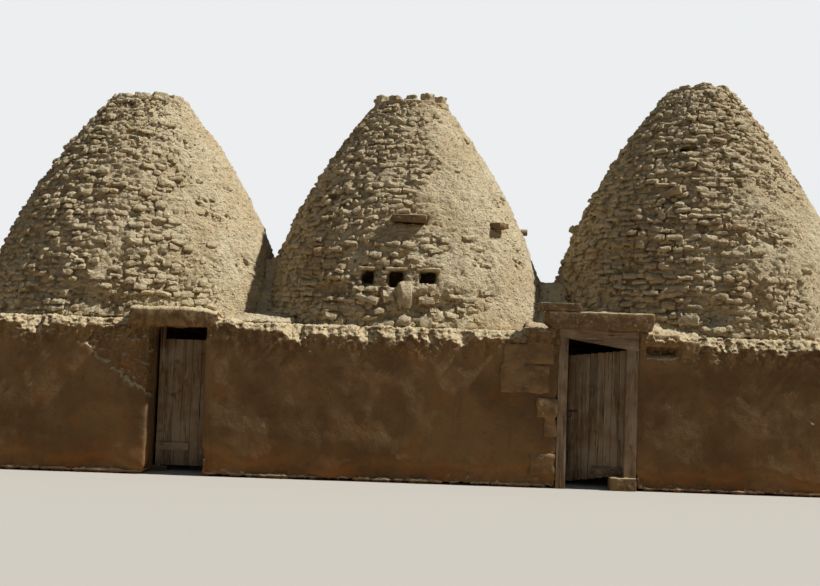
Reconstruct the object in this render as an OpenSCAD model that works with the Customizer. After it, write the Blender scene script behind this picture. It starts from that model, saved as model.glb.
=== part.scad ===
// Beehive adobe house: three square rooms in a row under corbelled mud-brick domes.
// The origin is on the ground at the middle of the footprint. X runs along the row,
// Y from the front wall to the back, Z up. All lengths are in millimetres.

/* [Rooms] */
// Side of the square that the rooms are set out from, which is the left room's clear width
// and the clear depth of all three
room_side = 3400; // [3250:10:3700]
// Width that the middle room falls short of the square
middle_room_less = 100; // [0:10:200]
// Width that the right room has beyond the square
right_room_more = 160; // [0:10:250]

/* [Walls] */
// Height of the walls, from the ground to the underside of the roof deck
wall_h = 1750; // [1700:10:1950]
// Thickness of the front and back walls
outer_wall_t = 600; // [550:10:700]
// Thickness of the two party walls that end the row
party_wall_t = 550; // [450:10:700]
// Thickness of the left cross wall
left_cross_t = 520; // [440:10:600]
// Thickness of the right cross wall at its arch
right_cross_t = 840; // [780:10:950]
// Thickness of the right cross wall away from its arch
right_cross_leaf_t = 310; // [260:10:400]
// Distance from the rooms' middle to the front of the right cross wall's thick part
right_thick_front = 1050; // [900:10:1150]

/* [Arches] */
// Radius of the arch in each cross wall, which is half its span
arch_r = 650; // [500:10:750]
// Height where the arches spring
arch_spring_h = 900; // [800:10:980]

/* [Roof deck] */
// Thickness of the mud deck that the domes stand on
deck_t = 180; // [150:5:220]
// Height of the deck's outer edge, where the shoulder starts to slope
deck_edge_h = 30; // [20:5:80]
// Flat ledge between the top of the shoulder and a dome's foot
deck_ledge_w = 20; // [10:5:40]

/* [Domes] */
// Height of one course of bricks
course_h = 75; // [65:1:85]
// Shell thickness at a dome's foot
dome_foot_t = 468; // [400:4:480]
// Shell thickness at a dome's crown
dome_crown_t = 250; // [200:5:300]
// Courses in each dome's lower part
lower_courses = 16; // [14:1:18]
// Courses in each dome's middle part
middle_courses = 14; // [12:1:16]
// Courses in the left dome's upper part
left_upper_courses = 12; // [10:1:16]
// Courses in the middle dome's upper part
middle_upper_courses = 13; // [10:1:16]
// Courses in the right dome's upper part
right_upper_courses = 18; // [14:1:20]
// Outer radius at the top of the left dome's courses
left_crown_r = 580; // [500:10:650]
// Outer radius at the top of the middle dome's courses
middle_crown_r = 550; // [500:10:650]
// Outer radius at the top of the right dome's courses
right_crown_r = 470; // [430:10:600]
// Lean of the left dome: 1 is a straight cone and 0 the fullest curve
left_lean = 0.35; // [0.25:0.01:0.6]
// Lean of the middle dome
middle_lean = 0.37; // [0.25:0.01:0.6]
// Lean of the right dome
right_lean = 0.26; // [0.2:0.01:0.6]

/* [Crowns] */
// Height of the collar course under the crown bricks
collar_h = 70; // [50:5:90]
// Length of a crown brick, along the dome's radius
crown_brick_l = 160; // [140:5:170]
// Distance from the collar's outer edge to a crown brick
crown_brick_inset = 25; // [10:5:40]
// Bricks round the left crown
left_crown_bricks = 12; // [8:1:12]
// Width of the left crown's bricks
left_crown_brick_w = 195; // [120:5:200]
// Height of the left crown's tallest brick
left_crown_brick_h = 75; // [50:5:100]
// Bricks round the middle crown
middle_crown_bricks = 12; // [8:1:13]
// Width of the middle crown's bricks
middle_crown_brick_w = 135; // [100:5:150]
// Height of the middle crown's tallest brick
middle_crown_brick_h = 120; // [80:5:140]
// Bricks round the right crown
right_crown_bricks = 8; // [6:1:9]
// Width of the right crown's bricks
right_crown_brick_w = 165; // [120:5:180]
// Height of the right crown's tallest brick
right_crown_brick_h = 120; // [80:5:140]

/* [Valleys] */
// Height of the mud fill in the left valley
left_valley_h = 950; // [900:10:1050]
// Height of the mud fill in the right valley
right_valley_h = 730; // [600:10:850]
// Half the width of the fill at its foot
valley_foot_half = 800; // [650:10:950]
// Half the length of the fill at its foot
valley_foot_len = 1250; // [1100:10:1500]
// Half the width of the fill at its crest
valley_crest_half = 350; // [250:10:450]
// Half the length of the crest
valley_crest_len = 500; // [300:10:700]
// Height of the apron of washed-down mud in front of the fill, where it meets the fill
apron_h = 260; // [180:10:320]
// Half the width of the apron
apron_half = 480; // [400:10:520]
// Length of the bank of mud that slopes down from the right lintel's end
bank_len = 720; // [500:10:800]
// Depth of the bank, front to back
bank_d = 700; // [500:10:750]

/* [Corner corbels] */
// Reach of the upper corbel along each wall
corbel_reach = 400; // [300:10:430]
// Step back from the upper corbel to the lower one
corbel_step = 130; // [100:10:150]
// Height of one corbel
corbel_h = 55; // [45:5:60]

/* [Vents and projecting stones] */
// Height of the vents' heads above the middle dome's foot
vent_head_h = 735; // [670:5:800]
// Width of the left vent
left_vent_w = 155; // [120:5:180]
// Width of the centre vent
centre_vent_w = 185; // [150:5:200]
// Width of the right vent
right_vent_w = 215; // [180:5:230]
// Height of the left vent
left_vent_h = 175; // [150:5:240]
// Height of the centre vent
centre_vent_h = 215; // [180:5:260]
// Height of the right vent
right_vent_h = 165; // [140:5:220]
// Distance from the dome's axis to the middle of the left vent, to the left
left_vent_x = 480; // [450:5:500]
// Distance from the dome's axis to the middle of the centre vent, to the left
centre_vent_x = 110; // [85:5:120]
// Distance from the dome's axis to the middle of the right vent, to the right
right_vent_x = 305; // [295:5:360]
// Thickness of a vent's lintel stone
vent_lintel_t = 45; // [35:5:60]
// Length of a lintel stone's bearing on each side of its vent
vent_bearing = 50; // [30:5:60]
// Depth that a vent's lintel stone reaches into the shell
vent_lintel_d = 230; // [180:5:260]
// Distance that the vents' lintel stones stand out of the dome
vent_lintel_proud = 30; // [10:5:50]
// Height of the single small vent above the right dome's foot
small_vent_h0 = 2550; // [2450:10:2700]
// Width of the small vent
small_vent_w = 200; // [140:5:220]
// Height of the small vent
small_vent_h = 95; // [80:5:120]
// Distance from the dome's axis to the small vent, to the left
small_vent_x = 420; // [350:5:450]
// Width of the hood slab
hood_w = 455; // [350:5:520]
// Thickness of the hood slab
hood_t = 90; // [60:5:110]
// Distance that the hood slab stands out of the dome
hood_proud = 300; // [200:5:350]
// Depth that the hood slab reaches into the shell
hood_bed = 220; // [160:5:260]
// Height of the hood slab's underside above the dome's foot
hood_h0 = 1395; // [1350:5:1470]
// Distance from the dome's axis to the middle of the hood slab, to the right
hood_x = 35; // [0:5:100]
// Width of the projecting stone
stub_w = 200; // [150:5:240]
// Thickness of the projecting stone
stub_t = 90; // [60:5:110]
// Distance that the projecting stone stands out of the dome
stub_proud = 150; // [100:5:200]
// Turn of the projecting stone from the front, towards the right
stub_turn = 46; // [40:1:60]
// Radius of the projecting log
log_r = 48; // [40:2:60]
// Distance that the log stands out of the dome
log_proud = 100; // [80:5:150]
// Turn of the log from the front, towards the right
log_turn = 88; // [75:1:100]
// Height of the log's underside above the dome's foot
log_h0 = 1440; // [1400:10:1500]

/* [Left doorway] */
// Width of the left doorway
left_door_w = 710; // [680:5:800]
// Masonry between the left doorway and the cross wall
left_door_offset = 270; // [200:5:330]
// Rise of the left lintel's bed above the top of the wall
left_lintel_lift = 100; // [70:10:140]
// Height of the left lintel
left_lintel_h = 230; // [180:5:260]
// Bearing of the left lintel to the left of the doorway
left_lintel_bearing = 260; // [180:5:320]
// Bearing of the left lintel to the right of the doorway
left_lintel_end = 120; // [80:5:140]
// Distance from the wall's face to the middle of the left door
left_door_setback = 430; // [380:5:450]

/* [Right doorway] */
// Width of the right doorway between the masonry jambs
right_door_w = 1000; // [940:5:1060]
// Width of the stone pillar beside the right doorway
pillar_w = 410; // [350:5:450]
// Rise of the right lintel's bed above the top of the wall
right_lintel_lift = 230; // [200:5:260]
// Height of the right lintel
right_lintel_h = 225; // [180:5:260]
// Depth of the right lintel, front to back
right_lintel_d = 450; // [400:5:470]
// Bearing of the right lintel on the pillar
right_lintel_bearing = 160; // [120:5:220]
// Bearing of the right lintel on the wall to the right
right_lintel_end = 180; // [120:5:220]
// Distance that both lintels stand out of the front wall
lintel_proud = 60; // [30:5:80]
// Depth of the bevel under the right lintel's ends
lintel_bevel = 90; // [40:5:120]
// Length of the capping slab on the right lintel
cap_w = 520; // [450:10:650]
// Thickness of the capping slab
cap_t = 100; // [80:5:130]
// Overhang of the capping slab past the lintel's left end
cap_overhang = 100; // [50:5:150]
// Depth of the capping slab, front to back
cap_d = 330; // [250:10:380]

/* [Right door frame] */
// Depth of the frame's posts and head, front to back
frame_d = 110; // [90:5:120]
// Width of the frame's left post
frame_left_w = 120; // [100:5:140]
// Width of the frame's right post
frame_right_w = 150; // [120:5:170]
// Height of the frame's head at its left end
frame_head_left_h = 95; // [80:5:120]
// Height of the frame's head at its right end
frame_head_right_h = 250; // [200:5:270]
// Width of the stone under the right post
post_stone_w = 330; // [280:5:360]
// Height of the stone under the right post
post_stone_h = 160; // [140:5:210]

/* [Doors] */
// Width of the left door's planks, all together
left_leaf_w = 590; // [560:5:600]
// Gap between the left door's planks and the lintel over them
left_head_gap = 165; // [120:5:200]
// Planks in the left door
left_planks = 5; // [4:1:7]
// Width of the right door's planks, all together
right_leaf_w = 750; // [700:5:765]
// Gap between the right door's planks and the lintel over them, beside its post
right_head_gap = 245; // [240:5:300]
// Planks in the right door
right_planks = 8; // [6:1:9]
// Gap under the right door's planks beside its post
right_leaf_gap = 165; // [150:5:190]
// Drop of the right door's planks, from its post to its free edge, at their feet
right_foot_drop = 115; // [60:5:120]
// Drop of the right door's planks, from its post to its free edge, at their heads
right_head_drop = 80; // [40:5:120]
// Gap between two planks
plank_gap = 3; // [2:0.5:5]
// Thickness of the planks
plank_t = 32; // [25:1:36]
// Gap under the left door's planks
left_leaf_gap = 75; // [70:5:90]
// Height of a batten
batten_h = 95; // [70:5:110]
// Thickness of a batten
batten_t = 26; // [20:1:28]
// Length of the batten on a door's outer face
outer_batten_l = 420; // [300:10:450]
// Height of the left door's outer batten
left_outer_batten_z = 270; // [200:10:400]
// Width of a pivot post
post_w = 66; // [56:2:72]
// Depth of a pivot post
post_d = 50; // [44:2:56]
// Distance from a doorway's jamb to the pivot's axis
pivot_inset = 74; // [70:1:84]
// Radius of a post's pivots
pivot_r = 22; // [18:1:24]
// Length of a pivot in its socket
pivot_l = 36; // [30:1:40]
// Play round a pivot in its socket
pivot_play = 3; // [2:0.5:5]
// Play between a post and the stone that it turns on
foot_play = 0.3; // [0.2:0.1:0.5]
// Play between a post's top and the lintel over it
head_play = 12; // [8:1:20]
// Angle that the right door stands ajar
right_door_ajar = 22; // [10:1:30]
// Thickness of the socket stones
socket_t = 60; // [55:1:66]
// Length of the socket stones, out from the jamb
socket_w = 190; // [160:5:200]

/* [Hidden] */
$fn = 96;

// Colours of the materials
mud = [0.72, 0.60, 0.43];
plaster = [0.55, 0.42, 0.28];
stone = [0.60, 0.52, 0.40];
timber = [0.45, 0.36, 0.26];
iron = [0.25, 0.22, 0.20];

// Clearance between curved faces that lie against each other
seat_gap = 0.3;
// Margin by which a cut runs past the face that it opens
past = 1;

// Clear sizes of the rooms
left_room_w = room_side;
middle_room_w = room_side - middle_room_less;
right_room_w = room_side + right_room_more;
room_d = room_side;

// Places along the row
row_l = 2 * party_wall_t + left_room_w + left_cross_t + middle_room_w + right_cross_t
    + right_room_w;
left_end = -row_l / 2;
right_end = row_l / 2;
left_x0 = left_end + party_wall_t;
left_x1 = left_x0 + left_room_w;
middle_x0 = left_x1 + left_cross_t;
middle_x1 = middle_x0 + middle_room_w;
right_x0 = middle_x1 + right_cross_t;
right_x1 = right_x0 + right_room_w;

// Places across the row. The lintels stand proud at the front, so the rooms lie a little back.
room_y = lintel_proud / 2;
inner_front_y = room_y - room_d / 2;
inner_back_y = room_y + room_d / 2;
front_y = inner_front_y - outer_wall_t;
back_y = inner_back_y + outer_wall_t;
deck_top = wall_h + deck_t;

// Doorways
left_door_x1 = left_x1 - left_door_offset;
left_door_x0 = left_door_x1 - left_door_w;
right_door_x0 = middle_x1 + right_cross_leaf_t;
right_door_x1 = right_door_x0 + right_door_w;
pillar_x0 = right_door_x0 - pillar_w;
left_bed = wall_h + left_lintel_lift;
left_lintel_x0 = left_door_x0 - left_lintel_bearing;
left_lintel_x1 = left_door_x1 + left_lintel_end;
right_bed = wall_h + right_lintel_lift;
lintel_top = right_bed + right_lintel_h;
lintel_front = front_y - lintel_proud;
lintel_x0 = right_door_x0 - right_lintel_bearing;
lintel_x1 = right_door_x1 + right_lintel_end;

// Door pivots
left_pivot = [left_door_x0 + pivot_inset, front_y + left_door_setback];
frame_back = front_y + frame_d;
leaf_clear = 20;
socket_half_d = leaf_clear + batten_t + plank_t / 2;
right_pivot = [right_door_x1 - pivot_inset, frame_back + socket_half_d];

// Each dome: axis, foot radius, crown radius, lean, courses in all, crown bricks
LEFT = 0;
MIDDLE = 1;
RIGHT = 2;
room_x0 = [left_x0, middle_x0, right_x0];
room_x1 = [left_x1, middle_x1, right_x1];
left_valley_x = valley_x(LEFT);
right_valley_x = valley_x(MIDDLE);
bay_x0 = [left_end, left_valley_x, right_valley_x];
bay_x1 = [left_valley_x, right_valley_x, right_end];
crown_r = [left_crown_r, middle_crown_r, right_crown_r];
lean = [left_lean, middle_lean, right_lean];
upper_courses = [left_upper_courses, middle_upper_courses, right_upper_courses];
crown_bricks = [left_crown_bricks, middle_crown_bricks, right_crown_bricks];
crown_brick_w = [left_crown_brick_w, middle_crown_brick_w, right_crown_brick_w];
crown_brick_h = [left_crown_brick_h, middle_crown_brick_h, right_crown_brick_h];

function dome_x(d) = (room_x0[d] + room_x1[d]) / 2;
function inner_foot_r(d) = min(room_x1[d] - room_x0[d], room_d) / 2;
function foot_r(d) = inner_foot_r(d) + dome_foot_t;
// Middle of the valley between a dome and the next one, halfway between their feet
function valley_x(d) = (dome_x(d) + foot_r(d) + dome_x(d + 1) - foot_r(d + 1)) / 2;
function courses(d) = lower_courses + middle_courses + upper_courses[d];
function course_z(i) = deck_top + i * course_h;
function mix(a, b, t) = a + (b - a) * t;
// Outer radius at a share t of the dome's height: a cone that fills out towards its foot
function outer_r(d, t) = mix(foot_r(d), crown_r[d], lean[d] * t + (1 - lean[d]) * t * t);
function shell_t(t) = mix(dome_foot_t, dome_crown_t, t);
function share(d, i) = i / courses(d);
function outer_at(d, i) = outer_r(d, share(d, i));
function inner_at(d, i) = outer_at(d, i) - shell_t(share(d, i));
// Outer radius at a height above the dome's foot
function outer_at_h(d, h) = outer_at(d, floor(h / course_h));

module box(x0, x1, y0, y1, z0, z1) {
    translate([x0, y0, z0]) cube([x1 - x0, y1 - y0, z1 - z0]);
}

// Walls

// The walls step up on both sides of the left doorway, under the lintel's ends.
module front_wall_left() {
    color(plaster) {
        box(left_end, left_door_x0, front_y, inner_front_y, 0, wall_h);
        box(left_lintel_x0, left_door_x0, front_y, inner_front_y, wall_h, left_bed);
    }
}

module front_wall_middle() {
    color(plaster) {
        box(left_door_x1, pillar_x0, front_y, inner_front_y, 0, wall_h);
        box(left_door_x1, left_lintel_x1, front_y, inner_front_y, wall_h, left_bed);
    }
}

// The pillar of squared stone stands higher than the wall, to take the lintel's left end.
module door_pillar() {
    color(stone) box(pillar_x0, right_door_x0, front_y, inner_front_y, 0, right_bed);
}

// The wall steps up beside the right doorway, under the lintel's right end.
module front_wall_right() {
    color(plaster) {
        box(right_door_x1, right_end, front_y, inner_front_y, 0, wall_h);
        box(right_door_x1, lintel_x1, front_y, lintel_front + right_lintel_d, wall_h, right_bed);
    }
}

module back_wall() {
    color(plaster) box(left_end, right_end, inner_back_y, back_y, 0, wall_h);
}

module left_party_wall() {
    color(plaster) box(left_end, left_x0, inner_front_y, inner_back_y, 0, wall_h);
}

module right_party_wall() {
    color(plaster) box(right_x1, right_end, inner_front_y, inner_back_y, 0, wall_h);
}

module arch_opening(x0, x1) {
    box(x0 - past, x1 + past, room_y - arch_r, room_y + arch_r, -past, arch_spring_h);
    translate([x0 - past, room_y, arch_spring_h])
        rotate([0, 90, 0]) cylinder(r = arch_r, h = x1 - x0 + 2 * past);
}

module left_cross_wall() {
    color(plaster) difference() {
        box(left_x1, middle_x0, inner_front_y, inner_back_y, 0, wall_h);
        arch_opening(left_x1, middle_x0);
    }
}

// The right cross wall is thin at its front end, so that the right door can open beside it.
module right_cross_wall() {
    color(plaster) difference() {
        union() {
            box(middle_x1, right_door_x0, inner_front_y, inner_back_y, 0, wall_h);
            box(middle_x1, right_x0, room_y - right_thick_front, inner_back_y, 0, wall_h);
        }
        arch_opening(middle_x1, right_x0);
    }
}

// Roof deck: a mud slab with a sloping shoulder at front and back and a round hole under the dome

shoulder_w = outer_wall_t - dome_foot_t - deck_ledge_w;

module deck_slab(x0, x1) {
    translate([x0, 0, 0]) rotate([90, 0, 90]) linear_extrude(x1 - x0) polygon([
        [front_y, wall_h],
        [front_y, wall_h + deck_edge_h],
        [front_y + shoulder_w, deck_top],
        [back_y - shoulder_w, deck_top],
        [back_y, wall_h + deck_edge_h],
        [back_y, wall_h]
    ]);
}

// Room in the deck and the dome's foot for the left lintel and the steps in the walls
module left_lintel_room() {
    box(left_lintel_x0, left_lintel_x1, lintel_front, inner_front_y, wall_h,
        left_bed + left_lintel_h);
}

// Room in the deck and the fill for the right doorway's pillar, lintel and step in the wall
module right_lintel_room() {
    box(pillar_x0, lintel_x1, lintel_front, lintel_front + right_lintel_d, wall_h,
        lintel_top + past);
    box(pillar_x0, right_door_x0, lintel_front, inner_front_y, wall_h, right_bed);
}

// Bank of mud heaped against the right lintel's end, which slopes down along the deck
module lintel_bank() {
    y0 = front_y + shoulder_w;
    translate([0, y0 + bank_d, 0]) rotate([90, 0, 0]) linear_extrude(bank_d) polygon([
        [right_door_x1, deck_top - past],
        [lintel_x1 + bank_len, deck_top - past],
        [lintel_x1 + bank_len, deck_top],
        [lintel_x1, lintel_top],
        [right_door_x1, lintel_top]
    ]);
}

module roof_deck(d) {
    color(mud) difference() {
        union() {
            deck_slab(bay_x0[d], bay_x1[d]);
            if (d == RIGHT) difference() {
                lintel_bank();
                dome_room(RIGHT);
            }
        }
        translate([dome_x(d), room_y, wall_h - past])
            cylinder(r = inner_foot_r(d), h = deck_t + 2 * past);
        if (d == LEFT) left_lintel_room();
        if (d != LEFT) right_lintel_room();
    }
}

// Corner corbels: two stepped stones in each corner of a room carry the deck under its dome.
// The right room has none beside its doorway.

module corbel(reach, z) {
    translate([0, 0, z]) linear_extrude(corbel_h) polygon([[0, 0], [reach, 0], [0, reach]]);
}

module corner_corbel(x, y, side_x, side_y) {
    translate([x, y, 0]) scale([side_x, side_y, 1]) {
        corbel(corbel_reach, wall_h - corbel_h);
        corbel(corbel_reach - corbel_step, wall_h - 2 * corbel_h);
    }
}

module corner_corbels() {
    color(stone) for (d = [LEFT, MIDDLE, RIGHT]) {
        if (d != RIGHT) corner_corbel(room_x0[d], inner_front_y, 1, 1);
        corner_corbel(room_x1[d], inner_front_y, -1, 1);
        corner_corbel(room_x0[d], inner_back_y, 1, -1);
        corner_corbel(room_x1[d], inner_back_y, -1, -1);
    }
}

// Domes: each course steps in from the one under it, and the inside is smooth

// Inner face of the courses from i0 to i1, in a few straight stretches
inner_steps = 4;

module dome_profile(d, i0, i1, grow = 0) {
    outer = [for (i = [i0:i1 - 1], k = [0, 1]) [outer_at(d, i) + grow, course_z(i + k)]];
    inner = [for (k = [inner_steps:-1:0])
        let (i = mix(i0, i1, k / inner_steps)) [inner_at(d, i), course_z(i)]];
    polygon(concat(outer, inner));
}

module dome_shell(d, i0, i1, grow = 0) {
    translate([dome_x(d), room_y, 0]) rotate_extrude() dome_profile(d, i0, i1, grow);
}

// Two domes that meet are cut at the plane between their bays.
module bay_block(d, z0, z1) {
    box(bay_x0[d] + (d == LEFT ? -past : 0), bay_x1[d] + (d == RIGHT ? past : 0),
        front_y, back_y, z0, z1);
}

module dome_lower(d) {
    color(mud) difference() {
        intersection() {
            dome_shell(d, 0, lower_courses);
            bay_block(d, deck_top - past, course_z(lower_courses) + past);
        }
        if (d == LEFT) left_lintel_room();
    }
}

module dome_middle(d) {
    color(mud) dome_shell(d, lower_courses, lower_courses + middle_courses);
}

module dome_upper(d) {
    color(mud) dome_shell(d, lower_courses + middle_courses, courses(d));
}

// The crown is a collar course with loose bricks laid round it, which differ in height.
function brick_rise(d, k) = crown_brick_h[d] * (0.55 + 0.45 * pow(sin(k * 137), 2));

module dome_crown(d) {
    z0 = course_z(courses(d));
    outer = crown_r[d];
    inner = outer - dome_crown_t;
    color(mud) translate([dome_x(d), room_y, z0]) {
        rotate_extrude() translate([inner, 0]) square([dome_crown_t, collar_h]);
        for (k = [0:crown_bricks[d] - 1])
            rotate(k * 360 / crown_bricks[d])
                translate([outer - crown_brick_inset - crown_brick_l, -crown_brick_w[d] / 2,
                    collar_h - past])
                    cube([crown_brick_l, crown_brick_w[d], brick_rise(d, k) + past]);
    }
}

// Mud fill in a valley, shaped like a hipped ridge
module valley_ridge(x, h) {
    hull() {
        box(x - valley_foot_half, x + valley_foot_half, room_y - valley_foot_len,
            room_y + valley_foot_len, deck_top, deck_top + past);
        box(x - valley_crest_half, x + valley_crest_half, room_y - valley_crest_len,
            room_y + valley_crest_len, deck_top + h - past, deck_top + h);
    }
}

// Apron of mud washed down from the fill to the shoulder, at the front
module valley_apron(x) {
    hull() {
        box(x - apron_half, x + apron_half, front_y + shoulder_w, front_y + shoulder_w + past,
            deck_top, deck_top + past);
        box(x - apron_half, x + apron_half, room_y - valley_crest_len - past,
            room_y - valley_crest_len, deck_top, deck_top + apron_h);
    }
}

module dome_room(d) {
    translate([dome_x(d), room_y, 0]) rotate_extrude() polygon(concat(
        [[0, deck_top - past], [outer_at(d, 0) + seat_gap, deck_top - past]],
        [for (i = [0:lower_courses - 1], k = [0, 1])
            [outer_at(d, i) + seat_gap, course_z(i + k)]],
        [[0, course_z(lower_courses)]]
    ));
}

module valley_saddle(left, right, x, h) {
    color(mud) difference() {
        union() {
            valley_ridge(x, h);
            valley_apron(x);
        }
        dome_room(left);
        dome_room(right);
        if (left == LEFT) left_lintel_room();
        if (right == RIGHT) right_lintel_room();
    }
}

// Vents in the middle dome, their lintel stones, and the small vent in the right dome

vent_x = [-left_vent_x, -centre_vent_x, right_vent_x];
vent_w = [left_vent_w, centre_vent_w, right_vent_w];
vent_h = [left_vent_h, centre_vent_h, right_vent_h];
vent_head_z = deck_top + vent_head_h;

// Distance in front of a dome's axis to its face, at an offset x and a height above its foot
function face_y(d, x, h) = room_y - sqrt(pow(outer_at_h(d, h), 2) - x * x);

module vent_hole(k) {
    x = dome_x(MIDDLE) + vent_x[k];
    box(x - vent_w[k] / 2, x + vent_w[k] / 2, front_y, room_y, vent_head_z - vent_h[k],
        vent_head_z);
}

module vent_lintel(k) {
    x = dome_x(MIDDLE) + vent_x[k];
    half = vent_w[k] / 2 + vent_bearing;
    face = face_y(MIDDLE, vent_x[k], vent_head_h);
    box(x - half, x + half, face - vent_lintel_proud, face + vent_lintel_d, vent_head_z,
        vent_head_z + vent_lintel_t);
}

module vent_lintels() {
    color(stone) for (k = [0:2]) vent_lintel(k);
}

module small_vent() {
    x = dome_x(RIGHT) - small_vent_x;
    box(x - small_vent_w / 2, x + small_vent_w / 2, front_y, room_y, deck_top + small_vent_h0,
        deck_top + small_vent_h0 + small_vent_h);
}

// The hood slab, the stone and the log are bedded in the middle dome.

module hood_slab() {
    x = dome_x(MIDDLE) + hood_x;
    face = face_y(MIDDLE, hood_x, hood_h0);
    color(stone) box(x - hood_w / 2, x + hood_w / 2, face - hood_proud, face + hood_bed,
        deck_top + hood_h0, deck_top + hood_h0 + hood_t);
}

// A place on the middle dome's face, turned from the front towards the right
module at_dome_face(turn, h) {
    translate([dome_x(MIDDLE), room_y, deck_top + h])
        rotate(turn) translate([0, -outer_at_h(MIDDLE, h), 0]) children();
}

module projecting_stone() {
    color(stone) at_dome_face(stub_turn, hood_h0)
        translate([-stub_w / 2, -stub_proud, 0])
            cube([stub_w, stub_proud + hood_bed, stub_t]);
}

module log_solid(r) {
    at_dome_face(log_turn, log_h0) translate([0, -log_proud, log_r])
        rotate([-90, 0, 0]) cylinder(r = r, h = log_proud + hood_bed);
}

module projecting_log() {
    color(timber) log_solid(log_r);
}

module left_dome_lower_courses() { dome_lower(LEFT); }
module left_dome_middle_courses() { dome_middle(LEFT); }
module left_dome_upper_courses() { dome_upper(LEFT); }
module left_dome_crown() { dome_crown(LEFT); }

module middle_dome_lower_courses() {
    color(mud) difference() {
        dome_lower(MIDDLE);
        for (k = [0:2]) vent_hole(k);
        vent_lintels();
    }
}

module middle_dome_middle_courses() {
    color(mud) difference() {
        dome_middle(MIDDLE);
        hood_slab();
        projecting_stone();
        log_solid(log_r + seat_gap);
    }
}

module middle_dome_upper_courses() { dome_upper(MIDDLE); }
module middle_dome_crown() { dome_crown(MIDDLE); }

module right_dome_lower_courses() { dome_lower(RIGHT); }
module right_dome_middle_courses() { dome_middle(RIGHT); }

module right_dome_upper_courses() {
    color(mud) difference() {
        dome_upper(RIGHT);
        small_vent();
    }
}

module right_dome_crown() { dome_crown(RIGHT); }

// Lintels. Each has a blind socket for a door post's upper pivot.

module head_socket(pivot, z) {
    translate([pivot[0], pivot[1], z - past])
        cylinder(r = pivot_r + pivot_play, h = pivot_l + past);
}

module left_lintel() {
    color(stone) difference() {
        box(left_lintel_x0, left_lintel_x1, lintel_front, inner_front_y, left_bed,
            left_bed + left_lintel_h);
        head_socket(left_pivot, left_bed);
    }
}

// The right lintel is a long stone with its underside cut away towards both ends.
module right_lintel() {
    color(stone) difference() {
        translate([0, lintel_front + right_lintel_d, 0]) rotate([90, 0, 0])
            linear_extrude(right_lintel_d) polygon([
                [lintel_x0 + lintel_bevel, right_bed],
                [lintel_x1 - lintel_bevel / 2, right_bed],
                [lintel_x1, right_bed + lintel_bevel],
                [lintel_x1, lintel_top],
                [lintel_x0, lintel_top],
                [lintel_x0, right_bed + lintel_bevel]
            ]);
        head_socket(right_pivot, right_bed);
    }
}

module capping_slab() {
    color(stone) box(lintel_x0 - cap_overhang, lintel_x0 - cap_overhang + cap_w,
        lintel_front, lintel_front + cap_d, lintel_top, lintel_top + cap_t);
}

// Frame of the right doorway

// The head board is deeper at its right end.
module frame_head() {
    color(timber) translate([0, frame_back, 0]) rotate([90, 0, 0])
        linear_extrude(frame_d) polygon([
            [right_door_x0, right_bed - frame_head_left_h],
            [right_door_x1, right_bed - frame_head_right_h],
            [right_door_x1, right_bed],
            [right_door_x0, right_bed]
        ]);
}

// Height of the head board's lower edge at a distance x from the doorway's left jamb
function head_under(x) = right_bed
    - mix(frame_head_left_h, frame_head_right_h, x / right_door_w);

module frame_post(x0, x1, z0) {
    translate([0, frame_back, 0]) rotate([90, 0, 0]) linear_extrude(frame_d) polygon([
        [x0, z0],
        [x1, z0],
        [x1, head_under(x1 - right_door_x0)],
        [x0, head_under(x0 - right_door_x0)]
    ]);
}

module frame_posts() {
    color(timber) {
        frame_post(right_door_x0, right_door_x0 + frame_left_w, 0);
        frame_post(right_door_x1 - frame_right_w, right_door_x1, post_stone_h);
    }
}

module post_stone() {
    color(stone) box(right_door_x1 - post_stone_w, right_door_x1,
        front_y - lintel_proud / 2, frame_back, 0, post_stone_h);
}

// Socket stones on the ground, each with a blind hole for a door post's lower pivot. Each is
// drawn against a jamb at x = 0, towards +X, with its pivot on the X axis.

module socket_stone() {
    corner = socket_w / 5;
    difference() {
        linear_extrude(socket_t) polygon([
            [0, -socket_half_d],
            [socket_w - corner, -socket_half_d],
            [socket_w, 0],
            [socket_w - corner, socket_half_d],
            [0, socket_half_d]
        ]);
        translate([pivot_inset, 0, socket_t - pivot_l - foot_play])
            cylinder(r = pivot_r + pivot_play, h = pivot_l + foot_play + past);
    }
}

module socket_stones() {
    color(stone) {
        translate([left_door_x0, left_pivot[1], 0]) socket_stone();
        translate([right_door_x1, right_pivot[1], 0]) mirror([1, 0, 0]) socket_stone();
    }
}

// Doors. Each leaf is drawn with its pivot at the origin and its planks towards +X.

// Planks side by side, between heights z0 and z1 at the post, each a little lower than the last
module leaf_planks(w, count, z0, z1, foot_drop = 0, head_drop = 0) {
    pitch = (w + plank_gap) / count;
    for (k = [0:count - 1]) {
        foot = z0 - foot_drop * k / (count - 1);
        head = z1 - head_drop * k / (count - 1);
        translate([post_w / 2 + k * pitch, -plank_t / 2, foot])
            cube([pitch - plank_gap, plank_t, head - foot]);
    }
}

// A batten across the leaf, on its inner face (side 1) or its outer face (side -1)
module leaf_batten(x0, x1, z, side) {
    translate([x0, side > 0 ? plank_t / 2 : -plank_t / 2 - batten_t, z])
        cube([x1 - x0, batten_t, batten_h]);
}

// Places of the three inner battens, as shares of the leaf's height
batten_shares = [0.12, 0.48, 0.84];

// Heights of the planks, between the gaps at their feet and heads
left_leaf_h = left_bed - left_head_gap - left_leaf_gap;
right_leaf_h = right_bed - right_head_gap - right_leaf_gap;

module inner_battens(w, z0, z1) {
    for (s = batten_shares)
        leaf_batten(post_w / 2, post_w / 2 + w, mix(z0, z1, s) - batten_h / 2, 1);
}

module post_shaft(head_z) {
    translate([-post_w / 2, -post_d / 2, socket_t + foot_play])
        cube([post_w, post_d, head_z - head_play - socket_t - foot_play]);
}

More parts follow.
